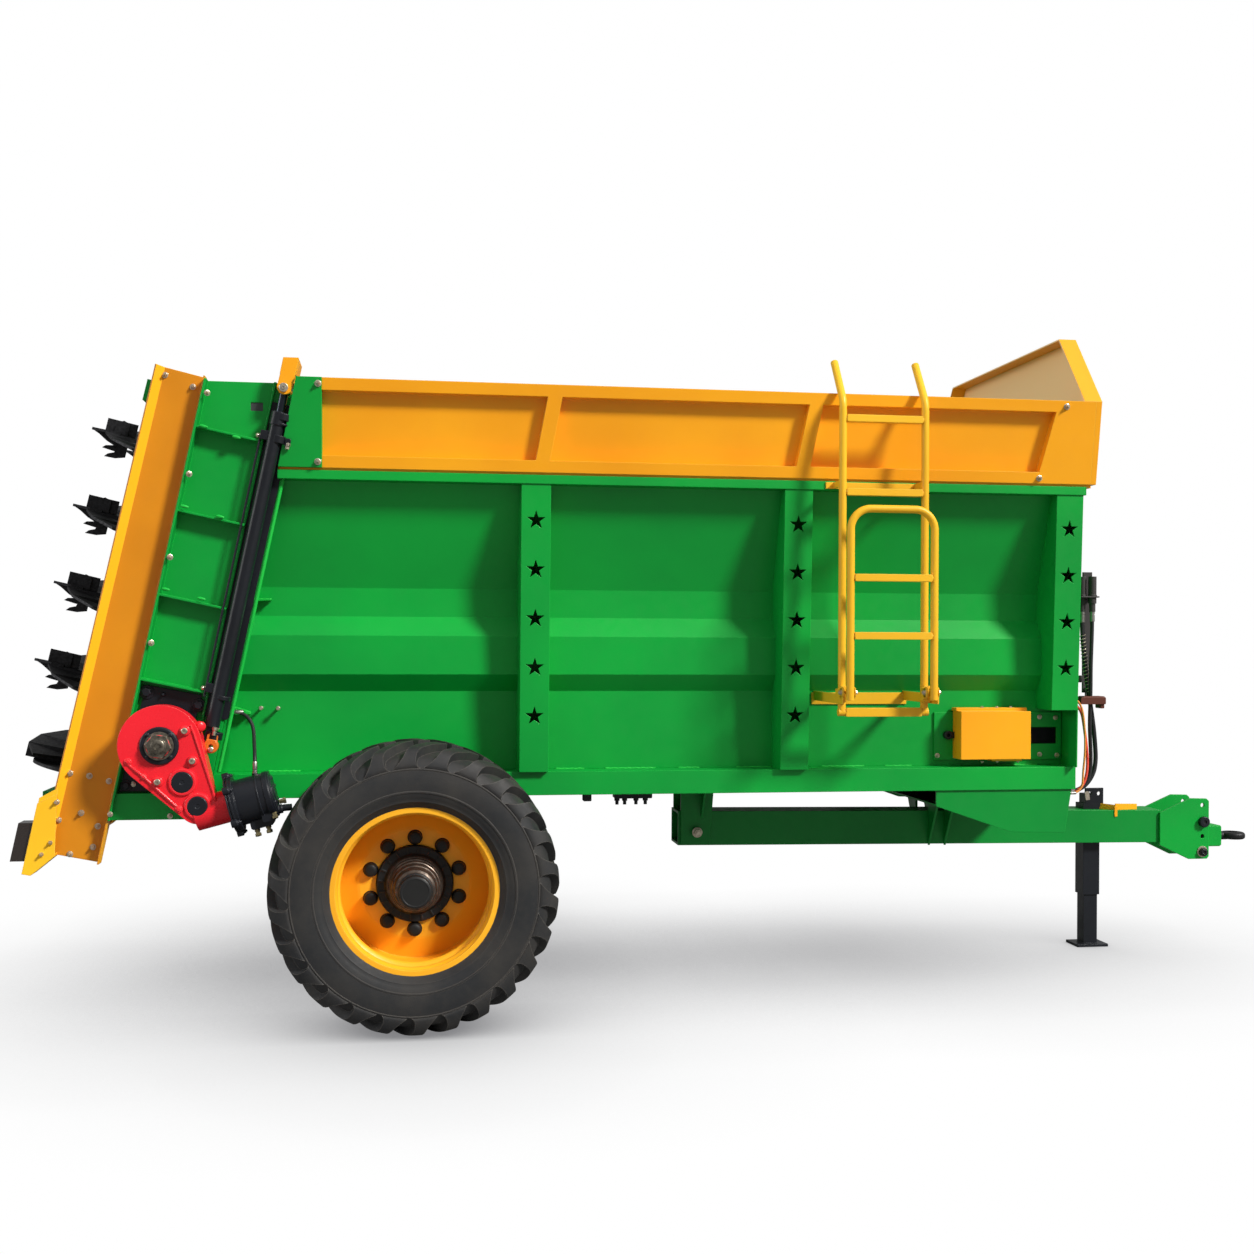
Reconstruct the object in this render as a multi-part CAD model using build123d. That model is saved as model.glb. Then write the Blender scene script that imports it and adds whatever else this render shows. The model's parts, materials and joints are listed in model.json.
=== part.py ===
"""Towed manure spreader with a scraper floor and two upright beaters.

Millimetres. +X points forwards to the hitch, -Y is the machine's right side,
+Z is up and the ground is Z = 0. While it is drawn, X = 0 is at the axle; at
the end the whole machine moves along X so that its origin is the middle of
its length, on the ground.
"""
from build123d import *
from math import cos, pi, radians, sin, tan
import os

# ---------------------------------------------------------------- sizes
# running gear
TYRE_R = 520            # 500/45-22.5 flotation tyre, out to the lugs' tips
TYRE_W = 500
TYRE_WALL_R = 392       # where the side wall is widest
LUG_DEPTH = 30
LUG_COUNT = 26          # lugs on each shoulder
LUG_ARC = 6.4           # degrees of a lug's top
LUG_SLOPE = 0.8         # degrees of a lug's side
LUG_SWEEP = 11          # degrees from a lug's inner end to its shoulder
LUG_ROWS = ((28, 0, 1), (120, 0, 0.45), (220, 20, 0))   # distance off the middle plane, drop of its top, sweep
SHOULDER_R = 440
RIM_FLANGE_R = 298
RIM_SEAT_R = 286
RIM_WELL_R = 250
RIM_W = 430
RIM_T = 8
WHEEL_Y = 1000          # tyre's middle plane
DISC_Y = 1020           # disc's outer face
WHEEL_DISC_T = 12
DISC_FLAT_R = 205
STUD_PCD_R = 167.5
STUD_COUNT = 10
STUD_R = 11
NUT_R = 22
NUT_H = 26
HUB_PILOT_R = 140
HUB_FLANGE_R = 192
HUB_NOSE_R = 88
HUB_CAP_R = 56
HUB_CAP_Y = 1238
HUB_INNER_Y = 900
SPINDLE_R = 40
AXLE_SIDE = 120
RUN = 0.3               # gap at running and pivot fits

AXLE_Z = TYRE_R

# box: heights are stacked up from the sill's underside
SILL_UP = 280           # sill's underside above the axle's centre
SILL_H = 93
SILL_Y = 700            # sill's outer face
SHEET = 6
WALL_Y = 590            # side wall's outer face, lower panel
RIDGE_OUT = 50          # how far the pressed ridge stands out
FLARE_OUT = 130         # how far the wall leans out to its top
LOWER_PANEL_H = 312
RIDGE_FOOT_H = 67
RIDGE_H = 151
RIDGE_HEAD_H = 74
WAIST_H = 112
FLARE_H = 403
FRONT_X = 2711          # box's front end
REAR_LEAN = 11.6        # degrees; the rear end leans forwards going up
REAR_X = -635           # box's rear edge at the lean's middle height
REAR_MID_UP = 945       # that height, above the axle
TOP_RAIL_H = 34
TOP_RAIL_Y = 785
FLOOR_T = 6
APRON_GAP = 8           # above the slats
APRON_RISE = 70
APRON_REACH = 120       # how far its rear edge lies behind the front shaft

# posts
POST_W = 114
POST_FOOT_Y = 725
POST_HEAD_Y = 780
FRONT_POST_BACK = 61    # third post's middle behind the front end
POSTS = ((460, 0), (1506, 0), (FRONT_X - FRONT_POST_BACK, 236))    # middle X, height of foot above the sill
STAR_R = 38
STAR_PITCH = 190
STAR_TOP_DROP = 140     # top star's middle below the rail
STAR_FOOT_GAP = 100     # least height of a star above the post's foot

# hungry boards
BOARD_GAP = 9
BOARD_H = 332
BOARD_FOOT_Y = 788
BOARD_HEAD_Y = 840
BOARD_DEPTH = 45        # how deep the plate lies behind its flanges
BOARD_FLANGE_H = 46
STIFFENERS = (505, 1540)    # middle X at half height
STIFFENER_W = 56
STIFFENER_LEAN = 10     # degrees, leaning forwards going up
BOARD_FRONT_X = FRONT_X + 22
END_PLATE_W = 94        # green rear end plate, along its head
NOSE_PLATE_FOOT = 235   # yellow front end plate, along its foot
NOSE_PLATE_HEAD = 159


# front headboard
HOOD_X = FRONT_X + 46
HOOD_DEPTH = 75
HOOD_H = 300
HOOD_TOP_Y = 600

# rear frame that carries the beaters: offsets are measured behind the box's rear edge
FRAME_Y = 805           # flanges' outer edge
FRAME_WEB_Y = 738       # web's inner face
FRAME_T = 8
FRAME_FRONT = 75
FRAME_REAR = 334
FRAME_FOOT_UP = 215     # its foot above the axle
FRAME_HEAD_UP = 1856    # its head above the axle
FOOT_BOX_H = 98
SLOT_DROP = 92
GUIDE_H = 60            # bars that guide the tailgate
GUIDE_T = 8
GUIDE_W = 40
WING_X = -1303          # lamp bracket's front upper corner
WING_UP = 314
WING_DEPTH = 90
WING_REAR = ((-68, -34), (-122, -293))      # its rear face, from the front upper corner
LAMP_T = 54
LAMP_HEAD_UP = 207      # lamp's head and foot above the axle
LAMP_FOOT_UP = 66
RIB_COUNT = 4
RIB_TOP_UP = 1650
RIB_PITCH = 314
SHIELD_HEAD_W = 158     # yellow panel's web, at its head and foot
SHIELD_FOOT_W = 190
SHIELD_LIP = 28
SHIELD_T = 6
SHIELD_FOOT_UP = 62
SHIELD_HEAD_UP = 1878

# tailgate, its arms and its cylinders
GATE_OFF = 36           # middle of the gate behind the box's rear edge
GATE_T = 36
GATE_Y = 730
GATE_FOOT_GAP = 45      # gate's foot above the floor
GATE_TRAVEL = 1000
CYL_Y = 800
CYL_OFF = 34
BARREL_R = 27
BARREL_BORE_R = 18
ROD_R = 16
CYL_FOOT_UP = 560
CYL_EYE_DROP = 50       # foot eye's centre below the barrel
CYL_PIN_R = 12
CYL_PIN_REACH = 17      # how far its foot pin stands out past its middle
GATE_EYE_DROP = 44.5    # rods' eyes below the gate's head
ROD_SHOWN = 95
EYE_R = 28
ARM_T = 12
FORK_HALF = 19          # half the width inside the arm's fork
ARM_H = 66              # arm's height above the gate's head
GATE_HEAD_UP = 6        # gate's head above the hungry boards
GATE_BARS = 5
GATE_BAR_H = 60

# beaters
BEATER_Y = 355
BEATER_LEAN = 13.1
BEATER_X = -1184        # axis at the height below
BEATER_MID_UP = 804
BEATER_TUBE_R = 60
FLIGHT_R = 232
FLIGHT_T = 10
BLADE_R = 290
BLADE_ROOT_R = 172
BLADE_W = 62
BLADE_T = 10
BLADE_POINT_L = 70      # pointed end of a blade
BLADE_POINT_W = 12
UPRIGHT_H = 55          # plate that stands on a blade
UPRIGHT_T = 8
UPRIGHT_BACK = 50       # its outer end inside the blade's tip
DISC_FIN_H = 50
DISC_FIN_T = 12
FUSE = 4                # how far welded pieces run into each other
BEATER_PITCH = 314
FLIGHT_TURNS = 4.25
FLIGHT_STEPS = 12       # facets a turn
BEATER_FOOT_UP = 360    # bottom disc's underside above the axle, along Z at the axis
DISC_R = 200
DISC_T = 12
DISC_BLADES = 4
DISC_BLADE_R = 236
BLADES_PER_TURN = 4
BLADE_STEPS = range(4, 17)  # quarter turns of the flight that carry a blade: none beside the floor's end
FLIGHT_FOOT = 40        # flight's start above the disc's underside
BLADE_PHASE = 74        # height where the flight points rearwards
BEATER_LENGTH = 1440
BEATER_STUB_R = 25
BEAM_GAP = 5
TOP_BEAM_W = 110
TOP_BEAM_H = 80
BEARING_R = 60          # caps of the upper bearings
BEARING_H = 20
DISC_GAP = 16           # below the disc, above its gear housing
LOWER_ARM_Y = 210
LOWER_BEAM_Y = 670      # its wide part ends clear of the lamp brackets

# floor drive
SHAFT_UP = 497          # both floor shafts' centres above the axle
REAR_SHAFT_X = -921
FRONT_SHAFT_X = FRONT_X - 151
FLOOR_SHAFT_R = 30
CHAIN_IN_R = 45         # inside of the chain where it bends round a sprocket
CHAIN_T = 14
CHAIN_W = 22
CHAIN_FACETS = 8        # facets of its bend round a shaft
CHAIN_YS = (-400, 400)
SLAT_H = 34
SLAT_W = 40
SLAT_Y = 560
SLAT_PITCH = 316
TENSIONER_X0 = FRONT_X - 571
TENSIONER_X1 = FRONT_X - 11
COVER_X = FRONT_X - 489
COVER_L = 302
COVER_Y = 690
COVER_T = 4
COVER_LIP_Y = WALL_Y + 60   # lids above and below the cover
TENSIONER_DOWN = 100    # plate's foot and head from the shaft's centre
TENSIONER_UP = 98
TENSIONER_T = 8
TENSIONER_SLOT = (170, 20, 35)  # ends behind the plate's front end, half height
PLATE_T = 14            # bearing plates of the rear shaft
PLATE_FOOT_UP = 318
PLATE_HEAD_UP = 715
GEARBOX_R = 148
GEARBOX_FOOT_R = 66
GEARBOX_STEP_X = 136
GEARBOX_STEP_Z = 221
GEARBOX_FACE_Y = -900
BEARING_RING = (66, 8)  # radius and height of the bearing's ring on the gearbox
SHAFT_NUT = (42, 34)
CAP = (48, 6)           # closing caps below it
CAP_UP = 0.6            # upper cap's place, as a share of the step to the lower one
GEARBOX_NECK = 40       # how much smaller the neck behind the gearbox is
SNOUT_R = 61            # motor's mount
SNOUT_L = 140
MOTOR_Y = -850
MOTOR_TILT = 15
MOTOR_REACH = 122
MOTOR_R = 85
MOTOR_FLANGE_R = 103
MOTOR_L = 150
MOTOR_FLANGE_T = 18
DRIVE_R = 30
PTO_R = 17.4
CROSS_PITCH = 620       # between cross members, one of them at the axle
CROSS_REAR = -1         # rearmost one, counted from the axle
CROSS_FRONT_GAP = 100

# drawbar
BEAM_W = 160
BEAM_REAR_X = 1157
BEAM_FRONT_X = FRONT_X + 729
BEAM_FOOT_DROP = 14     # rear underside below the axle
BEAM_H = 150
BEAM_FALL = 24          # how much lower the front end is
BEAM_WALL = 10
HANGER_X = 1237
HANGER_PIN_UP = 46
HANGER_PIN_R = 20
HITCH_HOLES = (133, 56, -12, -85)
HITCH_BOLTS = (56, -85)
HITCH_HOLE_R = 10
HITCH_HEAD_R = 19       # bolts' heads and nuts
HITCH_HEAD_T = 16
HITCH_T = 12            # hitch plates
HITCH_HOLE_X = 202      # row of holes in front of the beam's end
JACK_SLEEVE_Z = 239
CARRIER_REAR_X = FRONT_X - 596
CARRIER_FRONT_X = FRONT_X - 8
JACK_X = FRONT_X + 406
JACK_SIDE = 80
JACK_INNER = 66
JACK_FOOT = (150, 120, 12)
JACK_HEAD = (56, 44)    # width and height of its gear head
JACK_EAR_HOLE_R = 9
EYE_X = BEAM_FRONT_X + 408
EYE_UP = -22            # ring's middle above the axle
EYE_BORE_R = 25
EYE_SECTION_R = 16

# ladder
LADDER_X = (1648, 1984)
LADDER_Y = 900
LADDER_TUBE_R = 15
LADDER_FOOT_UP = 612
LADDER_BEND_UP = 1830
LADDER_TOP_UP = 2000
LADDER_RUNGS_UP = (1761, 1473)
HOOP_Y = 1008
HINGE_Y = 980
HINGE_PIN_R = 6
HOOP_H = 707
HOOP_RUNGS = (442, 219)

# hose stand and hoses
STAND_X = FRONT_X + 132
STAND_W = 40
STAND_Y = 500
STAND_T = 12
STAND_FOOT_UP = 673     # foot and head above the axle
STAND_HEAD_UP = 1191
STAND_ARMS_UP = (717, 1137)
STAND_ARM_H = 30
COUPLING_R = 17
COUPLING_L = 150
COUPLING_COLLAR_R = 19
CRIMP_R = 13
CRIMP_L = 35
HOLDER_UP = 1080        # plate that holds the couplings, above the axle
HOLDER_T = 6
CLAMP_UP = 630
CLAMP_H = 22
PORT_Z = 769.7
PORT_PLATE = (FRONT_X + SHEET, FRONT_X + SHEET + 6)
PORT_BLOCK_X = FRONT_X + 29
PORT_FACE_X = FRONT_X + 45
WALL_PORT_X = FRONT_X + 29
BEND = 0.45             # share of a hose's run that an arc may take

# Routes of the hoses that hang free, from one fitting to the other. X is measured from the box's front
# end, and on the motor's hose from the axle.
GUARDED_ROUTE = [(115, -530, 1540), (115, -530, 1470), (120.5, -531, 1390), (130, -532, 1300), (142, -531, 1215),
                 (157, -529, 1130), (171, -526, 1050), (181, -522, 970), (186, -519, 905), (178, -517, 848),
                 (144, -515, 796), (94.8, -514, 769.7), (45, -514, 769.7)]
PLAIN_ROUTE = [(151, -550, 1540), (151, -550, 1470), (147, -553, 1390), (143, -555, 1300), (143, -556, 1210),
               (140, -556, 1125), (139, -555, 1045), (144, -553, 975), (148, -550, 920), (148.5, -546, 876),
               (145, -542, 842), (137, -539, 816), (121, -537, 793), (99, -536, 777), (72, -536, 769.7),
               (45, -536, 769.7)]
RED_ROUTE = [(29, -562, 1150), (47, -562, 1150), (65, -562, 1145), (81, -562, 1135), (93, -562, 1120.5),
             (101, -562, 1102), (107, -562, 1073), (113, -562, 1032), (121, -561, 980), (127, -560, 925),
             (128, -559, 872), (121, -558, 829), (106, -557, 797.5), (86, -556, 778.5), (66, -556, 769.7),
             (45, -556, 769.7)]
ORANGE_ROUTE = [(29, -580, 1172), (45, -580, 1172), (61, -580, 1167.5), (75, -580, 1157.5), (86, -580, 1142),
                (94, -580, 1120), (100, -580, 1088), (105, -579, 1045), (108, -578, 995), (108, -577, 945),
                (105, -576, 900), (101, -575, 862), (100, -575, 832), (98.5, -575, 806), (92, -574, 789.5),
                (79.5, -574, 776.5), (63, -574, 769.7), (45, -574, 769.7)]
MOTOR_ROUTE = [(-692, -668, 1128), (-673, -668, 1128), (-654.5, -669.5, 1123.5), (-637, -674, 1114),
               (-622, -683, 1098), (-611, -694, 1077), (-605, -710, 1053), (-602, -731, 1031), (-599, -753, 1014),
               (-596, -776, 999), (-593, -797, 985), (-591.5, -811.5, 969), (-590, -821.5, 949.5),
               (-589, -827, 929), (-589, -827, 908)]
HOSES = {
    "guarded_hose": (9.5, FRONT_X, GUARDED_ROUTE),
    "plain_hose": (8, FRONT_X, PLAIN_ROUTE),
    "red_hose": (6, FRONT_X, RED_ROUTE),
    "orange_hose": (4.5, FRONT_X, ORANGE_ROUTE),
    "motor_hose": (7, 0, MOTOR_ROUTE),
}
COUPLED = ("guarded_hose", "plain_hose")    # those that end in a quick coupling

# ---------------------------------------------------------------- heights that follow
SILL_Z = AXLE_Z + SILL_UP
WALL_Z = SILL_Z + SILL_H
RIDGE_FOOT_Z = WALL_Z + LOWER_PANEL_H
RIDGE_Z = RIDGE_FOOT_Z + RIDGE_FOOT_H
RIDGE_TOP_Z = RIDGE_Z + RIDGE_H
WAIST_Z = RIDGE_TOP_Z + RIDGE_HEAD_H
FLARE_Z = WAIST_Z + WAIST_H
RAIL_Z = FLARE_Z + FLARE_H
RAIL_TOP_Z = RAIL_Z + TOP_RAIL_H
SHAFT_Z = AXLE_Z + SHAFT_UP
FLOOR_Z = SHAFT_Z + CHAIN_IN_R
DRIVE_Z = SILL_Z + 38
HINGE_Z = AXLE_Z + 692
RAIL_IN_Y = WALL_Y + FLARE_OUT - SHEET
BOARD_Z = RAIL_TOP_Z + BOARD_GAP
BOARD_TOP_Z = BOARD_Z + BOARD_H
GATE_HEAD_Z = BOARD_TOP_Z + GATE_HEAD_UP
CYL_EYE_S = (GATE_HEAD_Z - GATE_EYE_DROP - AXLE_Z - CYL_FOOT_UP) / cos(radians(REAR_LEAN))
CYL_BARREL_L = CYL_EYE_S - ROD_SHOWN
FAR = 2 * EYE_X         # beyond the whole machine, for solids that only cut


# ---------------------------------------------------------------- shapes
def box(x0, x1, y0, y1, z0, z1):
    return Pos((x0 + x1) / 2, (y0 + y1) / 2, (z0 + z1) / 2) * Box(x1 - x0, y1 - y0, z1 - z0)


def prism_xz(points, y0, y1):
    """Solid with an outline in X and Z, from y0 to y1."""
    return extrude(Plane.XZ.offset(-y0) * Polygon(*points, align=None), y1 - y0, dir=(0, 1, 0))


def prism_yz(points, x0, x1):
    """Solid with an outline in Y and Z, from x0 to x1."""
    return extrude(Plane.YZ.offset(x0) * Polygon(*points, align=None), x1 - x0, dir=(1, 0, 0))


def prism_xy(points, z0, z1):
    """Solid with an outline in X and Y, from z0 to z1."""
    return extrude(Plane.XY.offset(z0) * Polygon(*points, align=None), z1 - z0, dir=(0, 0, 1))


def rod_y(x, z, r, y0, y1):
    """Round bar along Y."""
    return Pos(x, (y0 + y1) / 2, z) * Rot(90, 0, 0) * Cylinder(r, abs(y1 - y0))


def rod_x(y, z, r, x0, x1):
    """Round bar along X."""
    return Pos((x0 + x1) / 2, y, z) * Rot(0, 90, 0) * Cylinder(r, x1 - x0)


def rod_z(x, y, r, z0, z1):
    """Round bar along Z."""
    return Pos(x, y, (z0 + z1) / 2) * Cylinder(r, z1 - z0)


def other_side(part):
    return mirror(part, about=Plane.XZ)


def together(*parts):
    """Solids that stay apart but share a node."""
    return Compound([solid for part in parts for solid in part.solids()])


def both_sides(part):
    """The right-hand piece and its mirror image, as two solids."""
    return together(part, other_side(part))


def rear_x(z, behind=0):
    """X of a point at height z, a distance behind the box's rear edge."""
    return REAR_X + (z - AXLE_Z - REAR_MID_UP) * tan(radians(REAR_LEAN)) - behind


def leaning(z0, z1, near, far, y0, y1):
    """Slab between two offsets behind the rear edge, from height z0 to z1."""
    outline = [(rear_x(z0, near), z0), (rear_x(z1, near), z1), (rear_x(z1, far), z1), (rear_x(z0, far), z0)]
    return prism_xz(outline, y0, y1)


def bent_tube(points, bends, r):
    """Round tube along straight runs joined by arcs."""
    path = FilletPolyline(*points, radius=bends)
    return sweep(Plane(origin=path @ 0, z_dir=path % 0) * Circle(r), path=path)


BEHIND_REAR = prism_xz([(rear_x(0), 0), (rear_x(FAR), FAR), (-FAR, FAR), (-FAR, 0)], -FAR, FAR)

WALL_LINE = [
    (WALL_Y, WALL_Z),
    (WALL_Y, RIDGE_FOOT_Z),
    (WALL_Y + RIDGE_OUT, RIDGE_Z),
    (WALL_Y + RIDGE_OUT, RIDGE_TOP_Z),
    (WALL_Y, WAIST_Z),
    (WALL_Y, FLARE_Z),
    (WALL_Y + FLARE_OUT, RAIL_Z),
]


# ---------------------------------------------------------------- box
def side_walls():
    outer = [(-y, z) for y, z in WALL_LINE]
    inner = [(-(y - SHEET), z) for y, z in reversed(WALL_LINE)]
    wall = prism_yz(outer + inner, rear_x(WALL_Z), FRONT_X) - BEHIND_REAR
    return both_sides(wall)


def sills():
    tube = box(rear_x(SILL_Z), FRONT_X, -SILL_Y, -WALL_Y + SHEET, SILL_Z, WALL_Z)
    tube -= box(-FAR, FAR, -SILL_Y + SHEET, -WALL_Y, SILL_Z + SHEET, WALL_Z - SHEET)
    return both_sides(tube - BEHIND_REAR)


def top_rails():
    rail = box(rear_x(RAIL_TOP_Z), FRONT_X, -TOP_RAIL_Y, -RAIL_IN_Y, RAIL_Z, RAIL_TOP_Z)
    return both_sides(rail - BEHIND_REAR)


def floor():
    reach = CHAIN_IN_R + CHAIN_T + 10
    rear, front = REAR_SHAFT_X + reach, FRONT_SHAFT_X - reach
    return box(rear, front, -WALL_Y + SHEET, WALL_Y - SHEET, FLOOR_Z - FLOOR_T, FLOOR_Z)


def apron():
    """Sloping sheet in front of the floor that covers the front shaft."""
    low, high = FLOOR_Z + SLAT_H + APRON_GAP, FLOOR_Z + SLAT_H + APRON_GAP + APRON_RISE
    back = FRONT_SHAFT_X - APRON_REACH
    outline = [(back, low), (FRONT_X, high), (FRONT_X, high + SHEET), (back, low + SHEET)]
    return prism_xz(outline, -WALL_Y + SHEET, WALL_Y - SHEET)


def front_wall():
    outline = [(-y, z) for y, z in WALL_LINE] + [(y, z) for y, z in reversed(WALL_LINE)]
    wall = prism_yz(outline, FRONT_X, FRONT_X + SHEET)
    wall += box(FRONT_X, FRONT_X + SHEET, -SILL_Y, SILL_Y, SILL_Z, WALL_Z)
    wall += box(FRONT_X, FRONT_X + SHEET, -TOP_RAIL_Y, TOP_RAIL_Y, RAIL_Z, RAIL_TOP_Z)
    return wall - rod_x(0, DRIVE_Z, DRIVE_R + 12, FRONT_X - 50, FRONT_X + 50)


def star(x, z):
    points = []
    for i in range(10):
        r = STAR_R if i % 2 == 0 else STAR_R * 0.382
        a = radians(90 + 36 * i)
        points.append((x + r * cos(a), z + r * sin(a)))
    return prism_xz(points, -FAR, -POST_FOOT_Y + 25)


def post_y(z):
    """Outer face of the posts at height z."""
    return POST_FOOT_Y + (POST_HEAD_Y - POST_FOOT_Y) * (z - WALL_Z) / (RAIL_Z - WALL_Z)


def posts():
    made = []
    for x, lift in POSTS:
        foot = WALL_Z + lift
        wall = [(y, z) for y, z in WALL_LINE if z > foot]
        outer = [(-post_y(foot), foot), (-post_y(RAIL_Z), RAIL_Z)]
        back = [(-y, z) for y, z in reversed(wall)] + [(-WALL_Y, foot)]
        post = prism_yz(outer + back, x - POST_W / 2, x + POST_W / 2)
        skin = [(y + SHEET, z) for y, z in outer]
        hollow = prism_yz(skin + [(0, RAIL_Z), (0, foot)], x - POST_W / 2 + SHEET, x + POST_W / 2 - SHEET)
        post -= hollow
        star_z = RAIL_Z - STAR_TOP_DROP
        while star_z > foot + STAR_FOOT_GAP:
            post -= star(x, star_z)
            star_z -= STAR_PITCH
        made.append(post)
    return both_sides(together(*made))


# ---------------------------------------------------------------- hungry boards and headboard
def board_y(z):
    """Outer face of the hungry board's flanges at height z."""
    return BOARD_FOOT_Y + (BOARD_HEAD_Y - BOARD_FOOT_Y) * (z - BOARD_Z) / BOARD_H


def board_slab(z0, z1, out, back, x0, x1):
    """Part of the leaning board between two depths behind its flanges."""
    outline = [(-board_y(z0) + out, z0), (-board_y(z1) + out, z1), (-board_y(z1) + back, z1), (-board_y(z0) + back, z0)]
    return prism_yz(outline, x0, x1)


def boards():
    x0 = rear_x(BOARD_Z)
    board = board_slab(BOARD_Z, BOARD_TOP_Z, BOARD_DEPTH - SHEET, BOARD_DEPTH, x0, BOARD_FRONT_X)
    board += board_slab(BOARD_TOP_Z - BOARD_FLANGE_H, BOARD_TOP_Z, 0, BOARD_DEPTH, x0, BOARD_FRONT_X)
    board += board_slab(BOARD_Z, BOARD_Z + BOARD_FLANGE_H, 0, BOARD_DEPTH, x0, BOARD_FRONT_X)
    slope = tan(radians(STIFFENER_LEAN)) * BOARD_H / 2
    for x in STIFFENERS:
        outline = [(x - STIFFENER_W / 2 - slope, BOARD_Z), (x + STIFFENER_W / 2 - slope, BOARD_Z),
                   (x + STIFFENER_W / 2 + slope, BOARD_TOP_Z), (x - STIFFENER_W / 2 + slope, BOARD_TOP_Z)]
        board += board_slab(BOARD_Z, BOARD_TOP_Z, 0, BOARD_DEPTH, x - BOARD_H, x + BOARD_H) & prism_xz(outline, -FAR, 0)
    nose = [(BOARD_FRONT_X - NOSE_PLATE_FOOT, BOARD_Z), (BOARD_FRONT_X, BOARD_Z),
            (BOARD_FRONT_X, BOARD_TOP_Z), (BOARD_FRONT_X - NOSE_PLATE_HEAD, BOARD_TOP_Z)]
    board += board_slab(BOARD_Z, BOARD_TOP_Z, 0, BOARD_DEPTH, 0, BOARD_FRONT_X) & prism_xz(nose, -FAR, 0)
    board -= BEHIND_REAR
    board -= end_plate_blank()
    foot = box(rear_x(BOARD_Z), BOARD_FRONT_X, -BOARD_FOOT_Y + 10, -BOARD_FOOT_Y + BOARD_DEPTH, RAIL_TOP_Z, BOARD_Z)
    return both_sides(board + (foot - BEHIND_REAR))


def end_plate_blank():
    front = rear_x(BOARD_TOP_Z) + END_PLATE_W
    blank = board_slab(BOARD_Z, BOARD_TOP_Z, -SHEET, BOARD_DEPTH - SHEET, rear_x(BOARD_Z), front)
    return blank - BEHIND_REAR


def board_ends():
    return both_sides(end_plate_blank())


def headboard():
    x0, x1 = BOARD_FRONT_X, HOOD_X
    foot_y, head_y = board_y(BOARD_Z), board_y(BOARD_TOP_Z)
    low = [(-foot_y, BOARD_Z), (-head_y, BOARD_TOP_Z), (head_y, BOARD_TOP_Z), (foot_y, BOARD_Z)]
    top = BOARD_TOP_Z + HOOD_H
    hood = [(-head_y, BOARD_TOP_Z), (-HOOD_TOP_Y, top), (HOOD_TOP_Y, top), (head_y, BOARD_TOP_Z)]
    inset = [(-head_y + 14, BOARD_TOP_Z - 1), (-HOOD_TOP_Y + 4, top - SHEET),
             (HOOD_TOP_Y - 4, top - SHEET), (head_y - 14, BOARD_TOP_Z - 1)]
    ledge_y = BOARD_FOOT_Y - BOARD_DEPTH - RUN
    panel = prism_yz(low, x1 - SHEET, x1) + box(FRONT_X, x1, -ledge_y, ledge_y, RAIL_TOP_Z, BOARD_Z + SHEET)
    panel += prism_yz(low, x0, x1) - box(x0 - 1, x1 - SHEET, -foot_y + 40, foot_y - 40, BOARD_Z + SHEET, BOARD_TOP_Z + 1)
    rim = prism_yz(hood, x1 - HOOD_DEPTH, x1) - prism_yz(inset, x1 - HOOD_DEPTH - 1, x1 - SHEET)
    return panel + rim


# ---------------------------------------------------------------- rear frame
def rear_frames():
    foot, head = AXLE_Z + FRAME_FOOT_UP, AXLE_Z + FRAME_HEAD_UP
    web_out = -FRAME_WEB_Y - FRAME_T
    frame = leaning(foot, head, 0, FRAME_REAR, web_out, -FRAME_WEB_Y)
    frame += leaning(foot, head, FRAME_REAR - FRAME_T, FRAME_REAR, -FRAME_Y, -FRAME_WEB_Y)
    frame += leaning(foot, head, FRAME_FRONT, FRAME_FRONT + FRAME_T, -CYL_Y + BARREL_R + 8, -FRAME_WEB_Y)
    rise = (FRAME_REAR - FRAME_FRONT) * tan(radians(REAR_LEAN))
    for i in range(RIB_COUNT):
        z = AXLE_Z + RIB_TOP_UP - i * RIB_PITCH
        low, high = z - rise / 2, z + rise / 2
        rib = [(rear_x(low, FRAME_FRONT), low), (rear_x(low + FRAME_T, FRAME_FRONT), low + FRAME_T),
               (rear_x(high + FRAME_T, FRAME_REAR), high + FRAME_T), (rear_x(high, FRAME_REAR), high)]
        frame += prism_xz(rib, -FRAME_Y + 8, -FRAME_WEB_Y)
    frame += leaning(foot, foot + FOOT_BOX_H, 0, FRAME_REAR, -FRAME_Y + 18, -FRAME_WEB_Y)
    slot_z = head - SLOT_DROP
    frame -= box(rear_x(slot_z, 152), rear_x(slot_z, 106), -FAR, 0, slot_z - 16, slot_z + 16)
    pin_x, pin_z = cylinder_point(-CYL_EYE_DROP)
    frame += rod_y(pin_x, pin_z, CYL_PIN_R, -CYL_Y - CYL_PIN_REACH, web_out)
    return both_sides(frame)


def portal_plates():
    """Sheets that close the gap between the side walls' ends and the frames' webs."""
    wall = [(-y, z) for y, z in reversed(WALL_LINE)]
    portal = [(-FRAME_WEB_Y, SILL_Z), (-FRAME_WEB_Y, RAIL_Z)] + wall + [(-WALL_Y, SILL_Z)]
    return both_sides(prism_yz(portal, -FAR, 0) & leaning(SILL_Z, RAIL_Z, 0, SHEET, -FRAME_WEB_Y, 0))


def gate_guides():
    """Short bars behind the tailgate that keep it in its slot."""
    low, high = AXLE_Z + FRAME_FOOT_UP + FOOT_BOX_H, AXLE_Z + FRAME_HEAD_UP
    bars = []
    for z in (low + GUIDE_H, high - GUIDE_H - 10):
        bars.append(leaning(z, z + GUIDE_H, FRAME_FRONT - GUIDE_T, FRAME_FRONT, -FRAME_WEB_Y, -FRAME_WEB_Y + GUIDE_W))
    return both_sides(together(*bars))


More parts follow.
